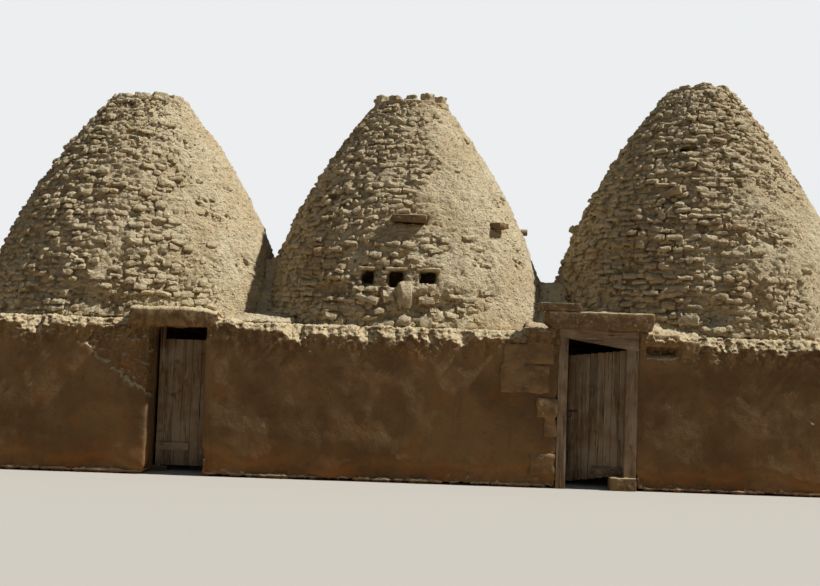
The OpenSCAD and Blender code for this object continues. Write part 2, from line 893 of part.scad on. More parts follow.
module leaf_post(head_z) {
    post_shaft(head_z);
    translate([0, 0, socket_t + foot_play - pivot_l])
        cylinder(r = pivot_r, h = pivot_l + past);
    translate([0, 0, head_z - head_play - past])
        cylinder(r = pivot_r, h = pivot_l + past);
}

module left_leaf_place() {
    translate([left_pivot[0], left_pivot[1], 0]) children();
}

// The right leaf hangs at the right jamb and stands ajar.
module right_leaf_place() {
    translate([right_pivot[0], right_pivot[1], 0]) rotate(-right_door_ajar)
        mirror([1, 0, 0]) children();
}

module left_door_planks() {
    color(timber) left_leaf_place()
        leaf_planks(left_leaf_w, left_planks, left_leaf_gap, left_leaf_gap + left_leaf_h);
}

// The left door's outer batten lies across its post as well, and is notched over it.
module left_door_battens() {
    color(timber) left_leaf_place() {
        inner_battens(left_leaf_w, left_leaf_gap, left_leaf_gap + left_leaf_h);
        difference() {
            leaf_batten(-post_w / 2, outer_batten_l - post_w / 2, left_outer_batten_z, -1);
            post_shaft(left_bed);
        }
    }
}

module left_door_post() {
    color(timber) left_leaf_place() leaf_post(left_bed);
}

module right_door_planks() {
    color(timber) right_leaf_place()
        leaf_planks(right_leaf_w, right_planks, right_leaf_gap, right_leaf_gap + right_leaf_h,
            right_foot_drop, right_head_drop);
}

module right_door_battens() {
    color(timber) right_leaf_place() {
        inner_battens(right_leaf_w, right_leaf_gap, right_leaf_gap + right_leaf_h
            - right_head_drop);
        leaf_batten(post_w / 2, post_w / 2 + outer_batten_l, right_leaf_gap, -1);
    }
}

module right_door_post() {
    color(timber) right_leaf_place() leaf_post(right_bed);
}

// Iron hasp at the right leaf's free edge: a strap on the planks and a ring that hangs from it
hasp_z = 930;
hasp_l = 130;
hasp_h = 26;
hasp_t = 5;
ring_r = 32;
ring_wire = 5;

module right_door_hasp() {
    x1 = post_w / 2 + right_leaf_w;
    color(iron) right_leaf_place() translate([0, -plank_t / 2, hasp_z]) {
        translate([x1 - hasp_l, -hasp_t, 0]) cube([hasp_l, hasp_t, hasp_h]);
        translate([x1 - hasp_h, -ring_wire, -ring_r])
            rotate([90, 0, 0]) rotate_extrude() translate([ring_r, 0]) circle(ring_wire, $fn = 24);
    }
}

front_wall_left();
front_wall_middle();
door_pillar();
front_wall_right();
back_wall();
left_party_wall();
right_party_wall();
left_cross_wall();
right_cross_wall();
roof_deck(LEFT);  // left_roof_deck
roof_deck(MIDDLE);  // middle_roof_deck
roof_deck(RIGHT);  // right_roof_deck
valley_saddle(LEFT, MIDDLE, left_valley_x, left_valley_h);  // left_valley_saddle
valley_saddle(MIDDLE, RIGHT, right_valley_x, right_valley_h);  // right_valley_saddle
corner_corbels();
left_dome_lower_courses();
left_dome_middle_courses();
left_dome_upper_courses();
left_dome_crown();
middle_dome_lower_courses();
middle_dome_middle_courses();
middle_dome_upper_courses();
middle_dome_crown();
right_dome_lower_courses();
right_dome_middle_courses();
right_dome_upper_courses();
right_dome_crown();
vent_lintels();
hood_slab();
projecting_stone();
projecting_log();
left_lintel();
right_lintel();
capping_slab();
frame_head();
frame_posts();
post_stone();
socket_stones();
left_door_planks();
left_door_battens();
left_door_post();
right_door_planks();
right_door_battens();
right_door_post();
right_door_hasp();
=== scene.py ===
# Looks of the beehive adobe house: three corbelled mud domes on one plastered wall with two plank doors
import math
import random

import bpy
from mathutils import Matrix, Vector, noise


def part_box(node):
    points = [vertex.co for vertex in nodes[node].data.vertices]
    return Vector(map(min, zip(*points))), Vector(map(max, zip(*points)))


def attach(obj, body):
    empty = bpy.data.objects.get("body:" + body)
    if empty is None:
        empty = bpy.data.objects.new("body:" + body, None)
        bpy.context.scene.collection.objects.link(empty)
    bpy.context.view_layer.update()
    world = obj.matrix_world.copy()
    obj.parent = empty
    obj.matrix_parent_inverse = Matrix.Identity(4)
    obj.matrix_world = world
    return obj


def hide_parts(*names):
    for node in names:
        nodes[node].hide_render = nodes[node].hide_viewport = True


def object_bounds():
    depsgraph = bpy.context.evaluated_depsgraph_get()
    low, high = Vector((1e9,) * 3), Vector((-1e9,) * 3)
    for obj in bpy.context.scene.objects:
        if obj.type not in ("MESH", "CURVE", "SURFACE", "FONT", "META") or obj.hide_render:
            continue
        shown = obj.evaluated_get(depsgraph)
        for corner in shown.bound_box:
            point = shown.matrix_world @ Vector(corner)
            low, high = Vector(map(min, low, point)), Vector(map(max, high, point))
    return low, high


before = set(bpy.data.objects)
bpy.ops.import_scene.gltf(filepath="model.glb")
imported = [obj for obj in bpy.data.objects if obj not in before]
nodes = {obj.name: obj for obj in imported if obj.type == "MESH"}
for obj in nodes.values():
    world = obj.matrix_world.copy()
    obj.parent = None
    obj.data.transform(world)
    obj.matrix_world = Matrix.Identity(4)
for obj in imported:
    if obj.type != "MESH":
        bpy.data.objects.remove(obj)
cadLow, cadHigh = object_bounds()
dice = random.Random(7)
scene = bpy.context.scene
scene.view_settings.view_transform = "Standard"


# Selecting, copying and modifiers

mergeDistance = 0.0002   # metres
leastWeight = 0.01


def useOnly(*pieces):
    bpy.ops.object.select_all(action="DESELECT")
    for piece in pieces:
        piece.select_set(True)
    bpy.context.view_layer.objects.active = pieces[0]


def linkMesh(name, mesh):
    piece = bpy.data.objects.new(name, mesh)
    scene.collection.objects.link(piece)
    return piece


def joinAll(pieces, name):
    useOnly(*pieces)
    if len(pieces) > 1:
        bpy.ops.object.join()
    piece = bpy.context.object
    piece.name = piece.data.name = name
    return piece


def editAll(piece, operator, **settings):
    useOnly(piece)
    bpy.ops.object.mode_set(mode="EDIT")
    bpy.ops.mesh.select_all(action="SELECT")
    operator(**settings)
    bpy.ops.object.mode_set(mode="OBJECT")


def copyOfNodes(name, *nodeNames):
    # the CAD meshes are loose triangles, so the copy is merged before anything else
    copies = [linkMesh(name, nodes[nodeName].data.copy()) for nodeName in nodeNames]
    piece = joinAll(copies, name)
    piece.data.materials.clear()
    editAll(piece, bpy.ops.mesh.remove_doubles, threshold=mergeDistance)
    return piece


def modify(piece, kind, **settings):
    modifier = piece.modifiers.new(kind, kind)
    for name, value in settings.items():
        setattr(modifier, name, value)
    useOnly(piece)
    bpy.ops.object.modifier_apply(modifier=modifier.name)


def weigh(piece, groupName, weightAt):
    group = piece.vertex_groups.new(name=groupName)
    for vertex in piece.data.vertices:
        weight = weightAt(vertex.co)
        if weight > leastWeight:
            group.add([vertex.index], min(weight, 1.0), "REPLACE")


def addCube(matrix):
    # a unit cube brought to its size and place
    bpy.ops.object.select_all(action="DESELECT")
    bpy.ops.mesh.primitive_cube_add(size=1)
    cube = bpy.context.object
    cube.data.transform(matrix)
    return cube


def shadeSmooth(piece, sharpAngle=None):
    # edges sharper than sharpAngle, in degrees, stay crisp
    useOnly(piece)
    if sharpAngle is None:
        bpy.ops.object.shade_smooth()
    else:
        bpy.ops.object.shade_smooth_by_angle(angle=math.radians(sharpAngle))


# Noise that pushes the pieces' faces in and out, with its size in metres

def makeLumps(name, size, depth=2, hard=False):
    lumps = bpy.data.textures.new(name, "CLOUDS")
    lumps.noise_scale = size
    lumps.noise_depth = depth
    lumps.noise_type = "HARD_NOISE" if hard else "SOFT_NOISE"
    return lumps


def makePebbles(name, size):
    pebbles = bpy.data.textures.new(name, "VORONOI")
    pebbles.noise_scale = size
    return pebbles


def makeNoiseFrame(name, scale):
    # an empty that stretches a texture: 1 is as it is, 0.3 is three times finer
    empty = bpy.data.objects.new(name, None)
    empty.scale = scale
    scene.collection.objects.link(empty)
    bpy.context.view_layer.update()
    return empty


plainNoise = makeNoiseFrame("plainNoise", (1, 1, 1))
flatNoise = makeNoiseFrame("flatNoise", (1, 1, 0.42))   # streaks that run along the courses
hangingNoise = makeNoiseFrame("hangingNoise", (1, 1, 1.8))   # runs that hang down a wall
swell = makeLumps("swell", 0.55)
lump = makeLumps("lump", 0.16, 3)
crumb = makeLumps("crumb", 0.05, 2)
grit = makeLumps("grit", 0.028, 1)
crag = makeLumps("crag", 0.11, 3, hard=True)
pebble = makePebbles("pebble", 0.10)


def push(piece, texture, strength, group="", along=plainNoise, mid=0.5):
    modify(piece, "DISPLACE", texture=texture, strength=strength, mid_level=mid,
           texture_coords="OBJECT", texture_coords_object=along, vertex_group=group)


def pushAll(piece, pushes):
    # each push is a texture, its strength and, where they differ from push's own, the rest
    for each in pushes:
        push(piece, *each)


def shift(piece, distance, group):
    modify(piece, "DISPLACE", strength=distance, mid_level=0, vertex_group=group)


def smoothStep(low, high, value):
    share = min(max((value - low) / (high - low), 0.0), 1.0)
    return share * share * (3 - 2 * share)


def countTriangles(piece):
    return sum(len(face.vertices) - 2 for face in piece.data.polygons)


def thin(piece, triangles):
    modify(piece, "DECIMATE", ratio=min(1.0, triangles / countTriangles(piece)))


def remesh(piece, voxel):
    modify(piece, "REMESH", mode="VOXEL", voxel_size=voxel)


def wear(piece, voxel, pushes, triangles):
    # an even mesh with lumps of its own, thinned again
    remesh(piece, voxel)
    pushAll(piece, pushes)
    thin(piece, triangles)
    shadeSmooth(piece)


def dress(piece, material, body="house", replaced=()):
    piece.data.materials.clear()
    piece.data.materials.append(material)
    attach(piece, body)
    if replaced:
        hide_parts(*replaced)
    print("piece", piece.name, countTriangles(piece), "triangles")


# Camera

photoView = {
    "imageSize": (820, 586),   # pixels
    "horizonRow": 343,
    "focalPixels": 1040,
    "roll": 2.0,   # degrees, so that level lines fall to the right
    "eyeHeight": 1.74,
    "eyeX": -0.164,
    "wallDistance": 13.0,
    "sensorWidth": 36.0,   # millimetres
}


def placeCamera(view):
    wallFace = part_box("front_wall_middle")[0].y
    data = bpy.data.cameras.new("camera")
    data.sensor_width = view["sensorWidth"]
    data.lens = view["focalPixels"] * view["sensorWidth"] / view["imageSize"][0]
    camera = bpy.data.objects.new("camera", data)
    scene.collection.objects.link(camera)
    pitch = math.atan((view["horizonRow"] - view["imageSize"][1] / 2) / view["focalPixels"])
    eye = Vector((view["eyeX"], wallFace - view["wallDistance"], view["eyeHeight"]))
    camera.matrix_world = (Matrix.Translation(eye)
                           @ Matrix.Rotation(math.radians(90) + pitch, 4, "X")
                           @ Matrix.Rotation(math.radians(view["roll"]), 4, "Z"))
    scene.camera = camera


placeCamera(photoView)
print("stage: camera")


# Materials

def paint(red, green, blue):
    def linear(value):
        share = value / 255
        return share / 12.92 if share <= 0.04045 else ((share + 0.055) / 1.055) ** 2.4
    return (linear(red), linear(green), linear(blue), 1)


def addNode(tree, kind, inputs, **settings):
    # each input is another node's output or a plain value
    node = tree.nodes.new("ShaderNode" + kind)
    for name, value in settings.items():
        setattr(node, name, value)
    for name, value in inputs.items():
        if isinstance(value, bpy.types.NodeSocket):
            tree.links.new(value, node.inputs[name])
        else:
            node.inputs[name].default_value = value
    return node


class Mixer:
    # a material with its Principled shader, and short ways to make patterns and to lay its colours
    def __init__(self, name, colours, first, roughness, specular=0.05):
        self.material = bpy.data.materials.new(name)
        self.material.use_nodes = True
        self.tree = self.material.node_tree
        self.shader = self.tree.nodes["Principled BSDF"]
        self.shader.inputs["Roughness"].default_value = roughness
        self.shader.inputs["Specular IOR Level"].default_value = specular
        self.place = self.tree.nodes.new("ShaderNodeTexCoord").outputs["Object"]
        self.colours = colours
        self.colour = colours[first]

    def add(self, kind, inputs, **settings):
        return addNode(self.tree, kind, inputs, **settings)

    def stretched(self, scale):
        if scale is None:
            return self.place
        return self.add("Mapping", {"Vector": self.place, "Scale": scale}).outputs["Vector"]

    def noise(self, size, detail=4, stretch=None, roughness=0.55):
        # size is in metres
        inputs = {"Vector": self.stretched(stretch), "Scale": 1 / size, "Detail": detail,
                  "Roughness": roughness}
        return self.add("TexNoise", inputs).outputs["Fac"]

    def cells(self, size, stretch=None):
        inputs = {"Vector": self.stretched(stretch), "Scale": 1 / size}
        return self.add("TexVoronoi", inputs).outputs["Distance"]

    def ramp(self, value, low, high, start=0.0, end=1.0):
        # rises smoothly from start at low to end at high, and low may be the larger
        inputs = {"Value": value, "From Min": low, "From Max": high, "To Min": start, "To Max": end}
        return self.add("MapRange", inputs, interpolation_type="SMOOTHSTEP").outputs["Result"]

    def combine(self, kind, one, other):
        return self.add("Math", {0: one, 1: other}, operation=kind).outputs[0]

    def times(self, one, other):
        return self.combine("MULTIPLY", one, other)

    def upward(self):
        normal = self.add("NewGeometry", {}).outputs["Normal"]
        return self.add("SeparateXYZ", {"Vector": normal}).outputs["Z"]

    def height(self):
        return self.add("SeparateXYZ", {"Vector": self.place}).outputs["Z"]

    def tint(self, share, name):
        # lays one of the colours over what is there. The numbers are the sockets for colours.
        inputs = {0: share, 6: self.colour, 7: self.colours[name]}
        self.colour = self.add("Mix", inputs, data_type="RGBA").outputs[2]

    def finish(self, bumps=()):
        # bumps: (height, distance in metres, strength), the coarsest first
        self.tree.links.new(self.colour, self.shader.inputs["Base Color"])
        normal = None
        for value, distance, strength in bumps:
            inputs = {"Height": value, "Distance": distance, "Strength": strength}
            if normal:
                inputs["Normal"] = normal
            normal = self.add("Bump", inputs).outputs["Normal"]
        if normal:
            self.tree.links.new(normal, self.shader.inputs["Normal"])
        return self.material


mudColours = {
    "pale": paint(222, 205, 168),
    "warm": paint(209, 187, 147),
    "grey": paint(188, 171, 140),
    "brown": paint(184, 150, 108),
    # painted shade: the colour laid in pits and holes, for the shade inside them
    "hole": paint(104, 82, 58),
    # straw flecks in the dome mud, and painted light on the bricks' upward faces
    "strawAndLitTop": paint(226, 210, 172),
}


def makeDomeMud(name, colours, flatness):
    # flatness: how far the marks are pressed flat along the courses
    mud = Mixer(name, colours, "warm", roughness=0.95, specular=0.03)
    stretch = (1, 1, flatness)
    mud.tint(mud.ramp(mud.noise(0.7, 5), 0.35, 0.65), "pale")
    mud.tint(mud.ramp(mud.noise(0.9, 4), 0.55, 0.7, 0, 0.5), "brown")
    mud.tint(mud.ramp(mud.noise(0.11, 6, stretch), 0.5, 0.66, 0, 0.6), "grey")
    mud.tint(mud.ramp(mud.noise(0.016, 3, (1, 1, 2)), 0.56, 0.7, 0, 0.4), "strawAndLitTop")
    # painted shade: pits and specks are tinted dark for the shade that falls in them; the same mask also
    # sinks them in the bump
    pits = mud.times(mud.ramp(mud.cells(0.055, (0.7, 0.7, 1.5)), 0.30, 0.14),
                     mud.ramp(mud.noise(0.10, 3, stretch), 0.50, 0.60))
    specks = mud.times(mud.ramp(mud.cells(0.024), 0.30, 0.12),
                       mud.ramp(mud.noise(0.07, 3), 0.52, 0.62))
    holes = mud.combine("MAXIMUM", pits, specks)
    mud.tint(mud.times(holes, 0.8), "hole")
    depth = mud.combine("SUBTRACT", mud.noise(0.035, 5, (1, 1, 1.2), 0.6), mud.times(holes, 0.9))
    return mud.finish([(mud.noise(0.11, 3), 0.05, 0.6), (depth, 0.050, 1.0),
                       (mud.noise(0.014, 4, None, 0.6), 0.008, 0.9)])


def makeMudBrick(colours):
    mud = Mixer("mudBrick", colours, "warm", roughness=0.95, specular=0.03)
    mud.tint(mud.ramp(mud.noise(0.25, 2, (1, 1, 3.3)), 0.32, 0.68), "pale")
    mud.tint(mud.ramp(mud.noise(0.8, 4), 0.5, 0.7, 0, 0.6), "brown")
    mud.tint(mud.ramp(mud.noise(0.1, 4), 0.5, 0.7, 0, 0.6), "grey")
    # upward faces paler: partly settled dust, partly painted light on the lit tops of the courses
    mud.tint(mud.ramp(mud.upward(), 0.35, 0.95, 0, 0.3), "strawAndLitTop")
    # painted shade: small dark spots for the shade in little hollows
    mud.tint(mud.times(mud.ramp(mud.cells(0.035), 0.30, 0.05), 0.4), "hole")
    return mud.finish([(mud.noise(0.035, 6, (1, 1, 1.3), 0.62), 0.050, 1.0),
                       (mud.noise(0.013, 5, None, 0.65), 0.010, 1.0)])


plasterColours = {
    "brown": paint(142, 115, 83),
    "dark": paint(116, 93, 67),
    "red": paint(150, 103, 61),
    "pale": paint(212, 192, 152),
    "fleck": paint(170, 145, 107),
    "stain": paint(84, 67, 48),
}


def makeWallPlaster(colours):
    plaster = Mixer("wallPlaster", colours, "dark", roughness=0.95, specular=0.03)
    plaster.tint(plaster.ramp(plaster.noise(0.9, 5), 0.36, 0.64), "brown")
    runs = plaster.ramp(plaster.noise(0.12, 4, (1, 1, 0.18)), 0.52, 0.72, 0, 0.5)
    plaster.tint(runs, "dark")
    plaster.tint(plaster.ramp(plaster.noise(0.34, 6), 0.54, 0.70, 0, 0.4), "red")
    plaster.tint(plaster.ramp(plaster.noise(0.10, 7, None, 0.7), 0.54, 0.70, 0, 0.35), "stain")
    low = plaster.ramp(plaster.height(), 0.55, 0.05, 0, 0.6)
    plaster.tint(plaster.times(low, plaster.ramp(plaster.noise(0.3, 4), 0.35, 0.6)), "red")
    nearEdge = plaster.ramp(plaster.height(), 1.45, 1.80)
    # paler flecks near the top edge: partly crumbled paler mud, partly painted light on the sunlit
    # crumbs
    worn = plaster.times(nearEdge, plaster.ramp(plaster.noise(0.07, 6, (1, 1, 0.6)), 0.45, 0.60))
    plaster.tint(plaster.times(worn, 0.6), "fleck")
    plaster.tint(plaster.ramp(plaster.noise(0.02, 3), 0.62, 0.74, 0, 0.4), "fleck")
    # upward faces paler: partly dust, partly painted light on the lit tops of crumbs and ledges
    plaster.tint(plaster.ramp(plaster.upward(), 0.15, 0.6), "pale")
    rills = plaster.times(nearEdge, plaster.noise(0.045, 7, (1, 1, 0.55), 0.62))
    return plaster.finish([(plaster.noise(0.1, 5), 0.03, 0.5), (rills, 0.045, 0.9),
                           (plaster.noise(0.02, 6, None, 0.65), 0.008, 0.7)])


stoneColours = {
    "tan": paint(138, 114, 83),
    "grey": paint(114, 96, 72),
    "pale": paint(204, 184, 146),
}
beddedColours = {
    "tan": paint(153, 126, 93),
    "grey": paint(126, 104, 77),
    "pale": paint(178, 153, 116),
}


def makeFieldStone(name, colours):
    stone = Mixer(name, colours, "grey", roughness=0.9)
    stone.tint(stone.ramp(stone.noise(0.25, 5), 0.38, 0.62), "tan")
    stone.tint(stone.ramp(stone.noise(0.03, 4), 0.58, 0.7, 0, 0.5), "pale")
    # upward faces paler: partly dust, partly painted light on the stones' tops
    stone.tint(stone.ramp(stone.upward(), 0.3, 0.9, 0, 0.85), "pale")
    return stone.finish([(stone.noise(0.07, 5), 0.02, 0.5),
                         (stone.noise(0.012, 6, None, 0.65), 0.005, 0.6)])


woodColours = {
    "grey": paint(161, 148, 129),
    "brown": paint(135, 112, 89),
    "dark": paint(60, 46, 36),
    "pale": paint(184, 168, 144),
}


def makeWood(name, colours, fibre):
    # fibre: how the grain is squeezed along X, Y and Z, small along the board
    wood = Mixer(name, colours, "brown", roughness=0.85)
    wood.tint(wood.ramp(wood.noise(0.35, 3), 0.36, 0.64), "grey")
    wood.tint(wood.ramp(wood.noise(0.09, 1, fibre), 0.52, 0.60, 0, 0.45), "dark")
    fibres = wood.noise(0.012, 5, fibre, 0.6)
    wood.tint(wood.ramp(fibres, 0.5, 0.72, 0, 0.75), "pale")
    cracks = wood.ramp(wood.noise(0.02, 3, fibre), 0.60, 0.70)
    wood.tint(wood.times(cracks, 0.8), "dark")
    wood.tint(wood.ramp(wood.noise(0.16, 3), 0.6, 0.75, 0, 0.55), "dark")
    return wood.finish([(wood.combine("SUBTRACT", fibres, cracks), 0.004, 0.6)])


ironColours = {"dark": paint(58, 50, 44), "rust": paint(96, 62, 42)}


def makeRustyIron(colours):
    iron = Mixer("rustyIron", colours, "dark", roughness=0.75, specular=0.4)
    iron.tint(iron.ramp(iron.noise(0.02, 5), 0.4, 0.6), "rust")
    return iron.finish([(iron.noise(0.006, 5), 0.001, 0.5)])


domeMud = makeDomeMud("domeMud", mudColours, 1.8)
looseMud = makeDomeMud("looseMud", mudColours, 1)
mudBrick = makeMudBrick(mudColours)
wallPlaster = makeWallPlaster(plasterColours)
fieldStone = makeFieldStone("fieldStone", stoneColours)
beddedStone = makeFieldStone("beddedStone", beddedColours)
uprightWood = makeWood("uprightWood", woodColours, (1, 1, 0.06))
lyingWood = makeWood("lyingWood", woodColours, (0.06, 1, 1))
rustyIron = makeRustyIron(ironColours)
print("stage: materials")


# Domes: a lumpy mud skin over each shell, and mud bricks where the skin is washed off

# All places on a dome are a turn in degrees from the front, positive to the right, and a level
# in metres above the foot. spots: turn, level, their reaches, and how much barer the spot is.
# hollows: turn, level, reaches, depth. rubble: turn, level, width, height, how far it stands out.
# jutting: turn, level, reaches, and how much farther the bricks stand out there.
# clear: x from the axis, half width, lowest and highest level, where no brick is laid.
domes = {
    "left": {
        "bareTurn": -60, "bareLevel": 0.52, "bareGain": 0.48, "patch": 0.17,
        "spots": [(-30, 0.3, 22, 0.4, 0.3), (3, 0.74, 9, 0.22, -0.2)],
        "hollows": [(-8, 0.30, 5, 0.15, 0.07), (3, 0.20, 5, 0.14, 0.08), (3, 0.74, 9, 0.20, 0.04),
                    (-27, 1.67, 9, 0.11, 0.05), (-24, 0.4, 5, 0.2, 0.04)],
        "rubble": [(-88, 2.00, 0.22, 0.09, 0.05), (-14, 0.10, 0.16, 0.07, 0.04),
                   (-13.5, 0.18, 0.13, 0.06, 0.03)],
        "jutting": [(-38, 0.9, 22, 1.3, 0.020)],
        "clear": [],
        "lengths": (0.08, 0.21),
    },
    "middle": {
        "bareTurn": -74, "bareLevel": 0.40, "bareGain": 0.44, "patch": 0.30,
        "spots": [(-12, 0.32, 34, 0.40, 0.55), (-8, 2.8, 30, 0.4, 0.2)],
        "hollows": [(-25, 0.43, 6, 0.12, 0.05), (14, 0.30, 8, 0.10, 0.06), (5, 0.30, 3, 0.12, 0.08),
                    (-9, 0.36, 3, 0.14, 0.07), (-3, 0.16, 4, 0.05, 0.06)],
        "rubble": [(0.3, 0.42, 0.18, 0.27, 0.05), (-6, 0.41, 0.14, 0.15, 0.04),
                   (-13, 0.36, 0.30, 0.09, 0.05), (8, 0.36, 0.20, 0.10, 0.05),
                   (0.4, 0.09, 0.16, 0.11, 0.05), (7.8, 0.07, 0.15, 0.12, 0.05),
                   (20.8, 0.03, 0.15, 0.12, 0.06), (-22, 0.06, 0.12, 0.10, 0.05)],
        "jutting": [(-36, 0.9, 20, 1.4, 0.036)],
        "clear": [(-0.48, 0.07, 0.56, 0.78), (-0.11, 0.09, 0.52, 0.78), (0.305, 0.10, 0.57, 0.78),
                  (0.035, 0.25, 1.36, 1.52), (1.15, 0.14, 1.36, 1.52)],
        "lengths": (0.08, 0.21),
    },
    "right": {
        "bareTurn": -50, "bareLevel": 0.78, "bareGain": 0.34, "patch": 0.20,
        "spots": [(62, 0.9, 34, 1.2, -0.90), (16, 1.5, 20, 0.8, -0.35)],
        "hollows": [(-9, 0.34, 5, 0.16, 0.09), (-6, 0.9, 3, 0.30, 0.05), (-13, 1.42, 3, 0.10, 0.07),
                    (-40, 0.9, 7, 0.15, 0.05), (6, 0.5, 4, 0.12, 0.06)],
        "rubble": [(-90, 1.57, 0.20, 0.10, 0.11), (-28, 1.95, 0.34, 0.10, 0.06),
                   (-17, 0.22, 0.26, 0.12, 0.05), (-22, 0.62, 0.30, 0.09, 0.05),
                   (-38, 1.30, 0.28, 0.09, 0.05)],
        "jutting": [(-40, 0.9, 24, 1.5, 0.046)],
        "clear": [(-0.42, 0.12, 2.52, 2.68)],
        "lengths": (0.08, 0.22),
    },
}
shellParts = ("lower", "middle", "upper")
skin = {
    "voxel": 0.020,
    "outerDepth": 0.13,   # what lies deeper than this in the shell is the room's side
    "patchSize": 0.50,
    "fineScale": 6.0,   # a finer patchwork, in waves per metre, and its share
    "fineShare": 0.22,
    "bareRange": (0.15, 0.85),
    "washedOff": 0.026,   # how far the mud lies behind the bricks' faces
    "keptOn": 0.010,
    "deepest": 0.1,   # the depth of a hollow with the full weight
    "smoothing": {"factor": 0.7, "iterations": 8},
    "pushes": [
        (swell, 0.07, "out"), (lump, 0.050, "out"), (lump, 0.045, "bare", flatNoise),
        (pebble, -0.040, "bare", flatNoise, 0.4), (crumb, 0.034, "out"),
        (crumb, 0.045, "bare", flatNoise), (grit, 0.020, "out"), (grit, 0.020, "bare"),
    ],
    "triangles": 90000,
    "innerTriangles": 4000,
}
brick = {
    "course": 0.075,
    "height": (0.050, 0.084),
    "depth": 0.15,
    "gap": 0.010,
    "proud": (-0.026, 0.046),
    "swellScale": 3.0,   # whole stretches swell in and out: waves per metre, and how far
    "swell": 0.02,
    "rise": 0.010,   # spread of a brick's height in its course
    "tilt": (8.0, 6.0, 11.0),   # degrees, as a spread about X, Y and Z
    "missing": 0.14,
    "barer": (0.08, 0.80),   # a brick shows where the dome is barer than a chance in this range
    "sunkMost": 0.03,   # no brick is left in a deeper hollow
    "firstTurn": 0.2,
    "sharpAngle": 36,
}
brickKind = {
    "lengths": (0.10, 0.15, 0.20, 0.26), "height": 0.068, "variants": 3,
    "wornBack": 0.035,   # how far the upper edge of the face lies back
    "voxel": 0.009, "smoothing": {"factor": 0.5, "iterations": 1},
    "pushes": [(lump, 0.034), (crumb, 0.034)], "triangles": 88,
}
clod = {
    "count": 2400, "width": (0.025, 0.075), "depth": 0.07,
    "height": (0.6, 1.0),   # share of its width
    "proud": (-0.005, 0.022), "tilt": 20, "barer": 0.25, "triangles": 20,
}


def shellNodes(side):
    return [f"{side}_dome_{part}_courses" for part in shellParts]


def measureDome(side):
    # axis, foot, and the outer radius of each course, all read from the CAD shells
    dome = domes[side]
    low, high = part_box(f"{side}_dome_middle_courses")
    dome["axis"] = Vector(((low.x + high.x) / 2, (low.y + high.y) / 2, 0))
    dome["foot"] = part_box(f"{side}_dome_lower_courses")[0].z
    dome["top"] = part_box(f"{side}_dome_upper_courses")[1].z
    rows = round((dome["top"] - dome["foot"]) / brick["course"])
    radii = [0.0] * rows
    for nodeName in shellNodes(side):
        for vertex in nodes[nodeName].data.vertices:
            row = round((vertex.co.z - dome["foot"]) / brick["course"]) - 1
            if 0 <= row < rows:
                radius = math.hypot(vertex.co.x - dome["axis"].x, vertex.co.y - dome["axis"].y)
                radii[row] = max(radii[row], radius)
    dome["radii"] = radii


def turnOf(dome, place):
    # degrees round the axis: 0 at the front, positive to the right
    return math.degrees(math.atan2(place.x - dome["axis"].x, dome["axis"].y - place.y))


def sumOfSpots(spots, turn, level):
    # each spot is strongest at its turn and level and fades out over its reaches
    return sum(
        much * math.exp(-((turn - atTurn) / turnReach) ** 2 - ((level - atLevel) / levelReach) ** 2)
        for atTurn, atLevel, turnReach, levelReach, much in spots)


def bareness(dome, place):
    # 0 where the mud holds, 1 where it is washed off
    turn = turnOf(dome, place)
    facing = math.cos(math.radians(turn - dome["bareTurn"]))
    patch = noise.noise(place / skin["patchSize"]) * dome["patch"] * 2
    fine = noise.noise(place * skin["fineScale"]) * skin["fineShare"]
    spots = sumOfSpots(dome["spots"], turn, place.z - dome["foot"])
    level = dome["bareLevel"] + dome["bareGain"] * facing + patch + fine + spots
    return smoothStep(*skin["bareRange"], level)


def hollowness(dome, place):
    # metres that the face is sunk at a place
    return sumOfSpots(dome["hollows"], turnOf(dome, place), place.z - dome["foot"])


def juttingAt(dome, turn, level):
    # metres that the bricks stand out more at a place, with the turn in radians
    return sumOfSpots(dome["jutting"], math.degrees(turn + math.pi) % 360 - 180, level)


def radiusAt(dome, level):
    row = int(level / brick["course"])
    return dome["radii"][min(max(row, 0), len(dome["radii"]) - 1)]


def isOutside(dome, place):
    radius = math.hypot(place.x - dome["axis"].x, place.y - dome["axis"].y)
    return radius > radiusAt(dome, place.z - dome["foot"]) - skin["outerDepth"]


def thinInside(piece):
    # the room's side is smooth and hardly seen, so it keeps few faces
    outside = piece.vertex_groups["out"].index
    shown = {v.index for v in piece.data.vertices if any(g.group == outside for g in v.groups)}
    outer = sum(len(face.vertices) - 2 for face in piece.data.polygons
                if all(index in shown for index in face.vertices))
    modify(piece, "DECIMATE", ratio=(outer + skin["innerTriangles"]) / countTriangles(piece),
           vertex_group="out", invert_vertex_group=True)


def makeSkin(side):
    dome = domes[side]

    def outside(weightAt):
        return lambda co: weightAt(dome, co) if isOutside(dome, co) else 0

    piece = copyOfNodes(f"{side}DomeMud", *shellNodes(side))
    remesh(piece, skin["voxel"])
    weigh(piece, "bare", outside(bareness))
    weigh(piece, "kept", outside(lambda dome, co: 1 - bareness(dome, co)))
    weigh(piece, "out", outside(lambda dome, co: 1))
    weigh(piece, "hollow", outside(lambda dome, co: hollowness(dome, co) * (1 / skin["deepest"])))
    modify(piece, "SMOOTH", vertex_group="kept", **skin["smoothing"])
    shift(piece, -skin["washedOff"], "bare")
    shift(piece, skin["keptOn"], "kept")
    shift(piece, -skin["deepest"], "hollow")
    pushAll(piece, skin["pushes"])
    thinInside(piece)
    thin(piece, skin["triangles"])
    shadeSmooth(piece)
    dress(piece, domeMud, replaced=shellNodes(side))


